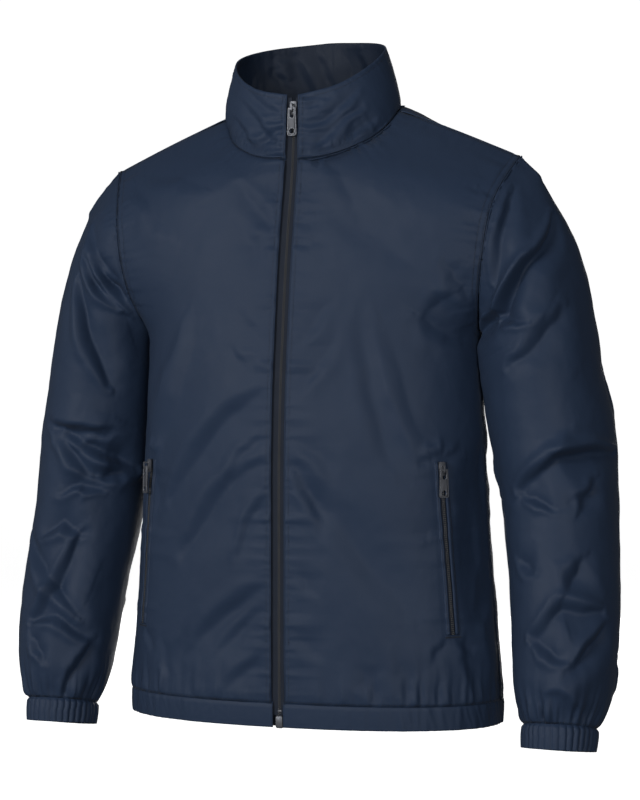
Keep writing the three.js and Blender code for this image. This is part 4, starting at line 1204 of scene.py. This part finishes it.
def makeTopstitching():
    bm = bmesh.new()
    for name, seam, offsets in stitchRows:
        tree = skinTree(clothPieces[name])
        for run in clothRuns[name].get(seam, []):
            for offset in offsets:
                found = [tree.find_nearest(p) for p in run.offset(offset * mm)]
                points = [f[0] for f in found]
                beadRow(bm, points, [f[1] for f in found], stitch["bead"], stitch["spacing"], 0.05)
    # The topstitching takes the darker thread: painted shade at the needle holes
    beadPiece(bm, "topStitching", threadPaintedShade)


makeTopstitching()
print("stitches sewn")


# Floor and backdrop in one pale bowl, soft lamps, and the camera

studio = {
    "floorLevel": -0.95, "radius": 7.5, "wall": 5.5,
    "pale": rgb(0.9, 0.9, 0.9),
    "glow": 0.9,
    "air": 0.07,
    "lamps": [
        ("key", (-1.6, -3.5, 0.75), 1.3, 78),
        ("front", (2.0, -3.4, -0.2), 1.3, 48),
        ("leftFill", (-3.3, -1.2, 0.2), 2.0, 8),
        ("top", (0.0, -0.4, 3.2), 2.0, 4),
        ("behind", (-0.8, 3.6, -0.2), 2.4, 32),
    ],
}


def makeStage():
    bm = bmesh.new()
    profile = [(0.0, 0.0), (0.72, 0.0), (0.82, 0.02), (0.9, 0.07), (0.96, 0.16), (1.0, 0.32), (1.0, 1.0)]
    verts = []
    for share, rise in profile:
        place = (studio["radius"] * share, 0, studio["floorLevel"] + studio["wall"] * rise)
        verts.append(bm.verts.new(place))
    edges = [bm.edges.new(pair) for pair in zip(verts, verts[1:])]
    spinning = {"cent": (0, 0, 0), "axis": (0, 0, 1), "angle": math.tau, "steps": 64}
    bmesh.ops.spin(bm, geom=verts + edges, use_merge=True, **spinning)
    bmesh.ops.remove_doubles(bm, verts=bm.verts, dist=1e-5)
    bmesh.ops.recalc_face_normals(bm, faces=bm.faces)
    floor = linkMesh(bm, "paleFloor")
    shadeSmooth(floor)
    f = Finish("paleFloor")
    glow = {"Emission_Color": rgb(1, 1, 1), "Emission_Strength": studio["glow"]}
    floor.data.materials.append(f.shade(Base_Color=studio["pale"], Roughness=0.9, **glow))
    floor.visible_diffuse = floor.visible_glossy = False  # the lamps alone light the cloth


def makeLamps():
    aim = Vector((0, -0.02, -0.3))
    for name, place, size, power in studio["lamps"]:
        lamp = bpy.data.lights.new(name, "AREA")
        lamp.size, lamp.energy = size, power
        holder = bpy.data.objects.new(name, lamp)
        holder.location = place
        holder.rotation_euler = (aim - Vector(place)).to_track_quat("-Z", "Y").to_euler()
        scene.collection.objects.link(holder)
    world = bpy.data.worlds.new("air")
    world.use_nodes = True
    world.node_tree.nodes["Background"].inputs[0].default_value = rgb(1, 1, 1)
    world.node_tree.nodes["Background"].inputs[1].default_value = studio["air"]
    scene.world = world


view = {"sensor": 36, "azimuth": 20, "distance": 2.465, "level": -0.331, "lens": 96.4}


def makeCamera():
    camera = bpy.data.cameras.new("camera")
    camera.lens = view["lens"]
    camera.sensor_width = view["sensor"]
    camera.clip_end = 60
    holder = bpy.data.objects.new("camera", camera)
    turn = math.radians(view["azimuth"])
    holder.location = (view["distance"] * math.sin(turn), -view["distance"] * math.cos(turn), view["level"])
    holder.rotation_euler = (math.pi / 2, 0, turn)
    scene.collection.objects.link(holder)
    scene.camera = holder


makeStage()
makeLamps()
makeCamera()
scene.view_settings.view_transform = "Standard"
print("stage set")
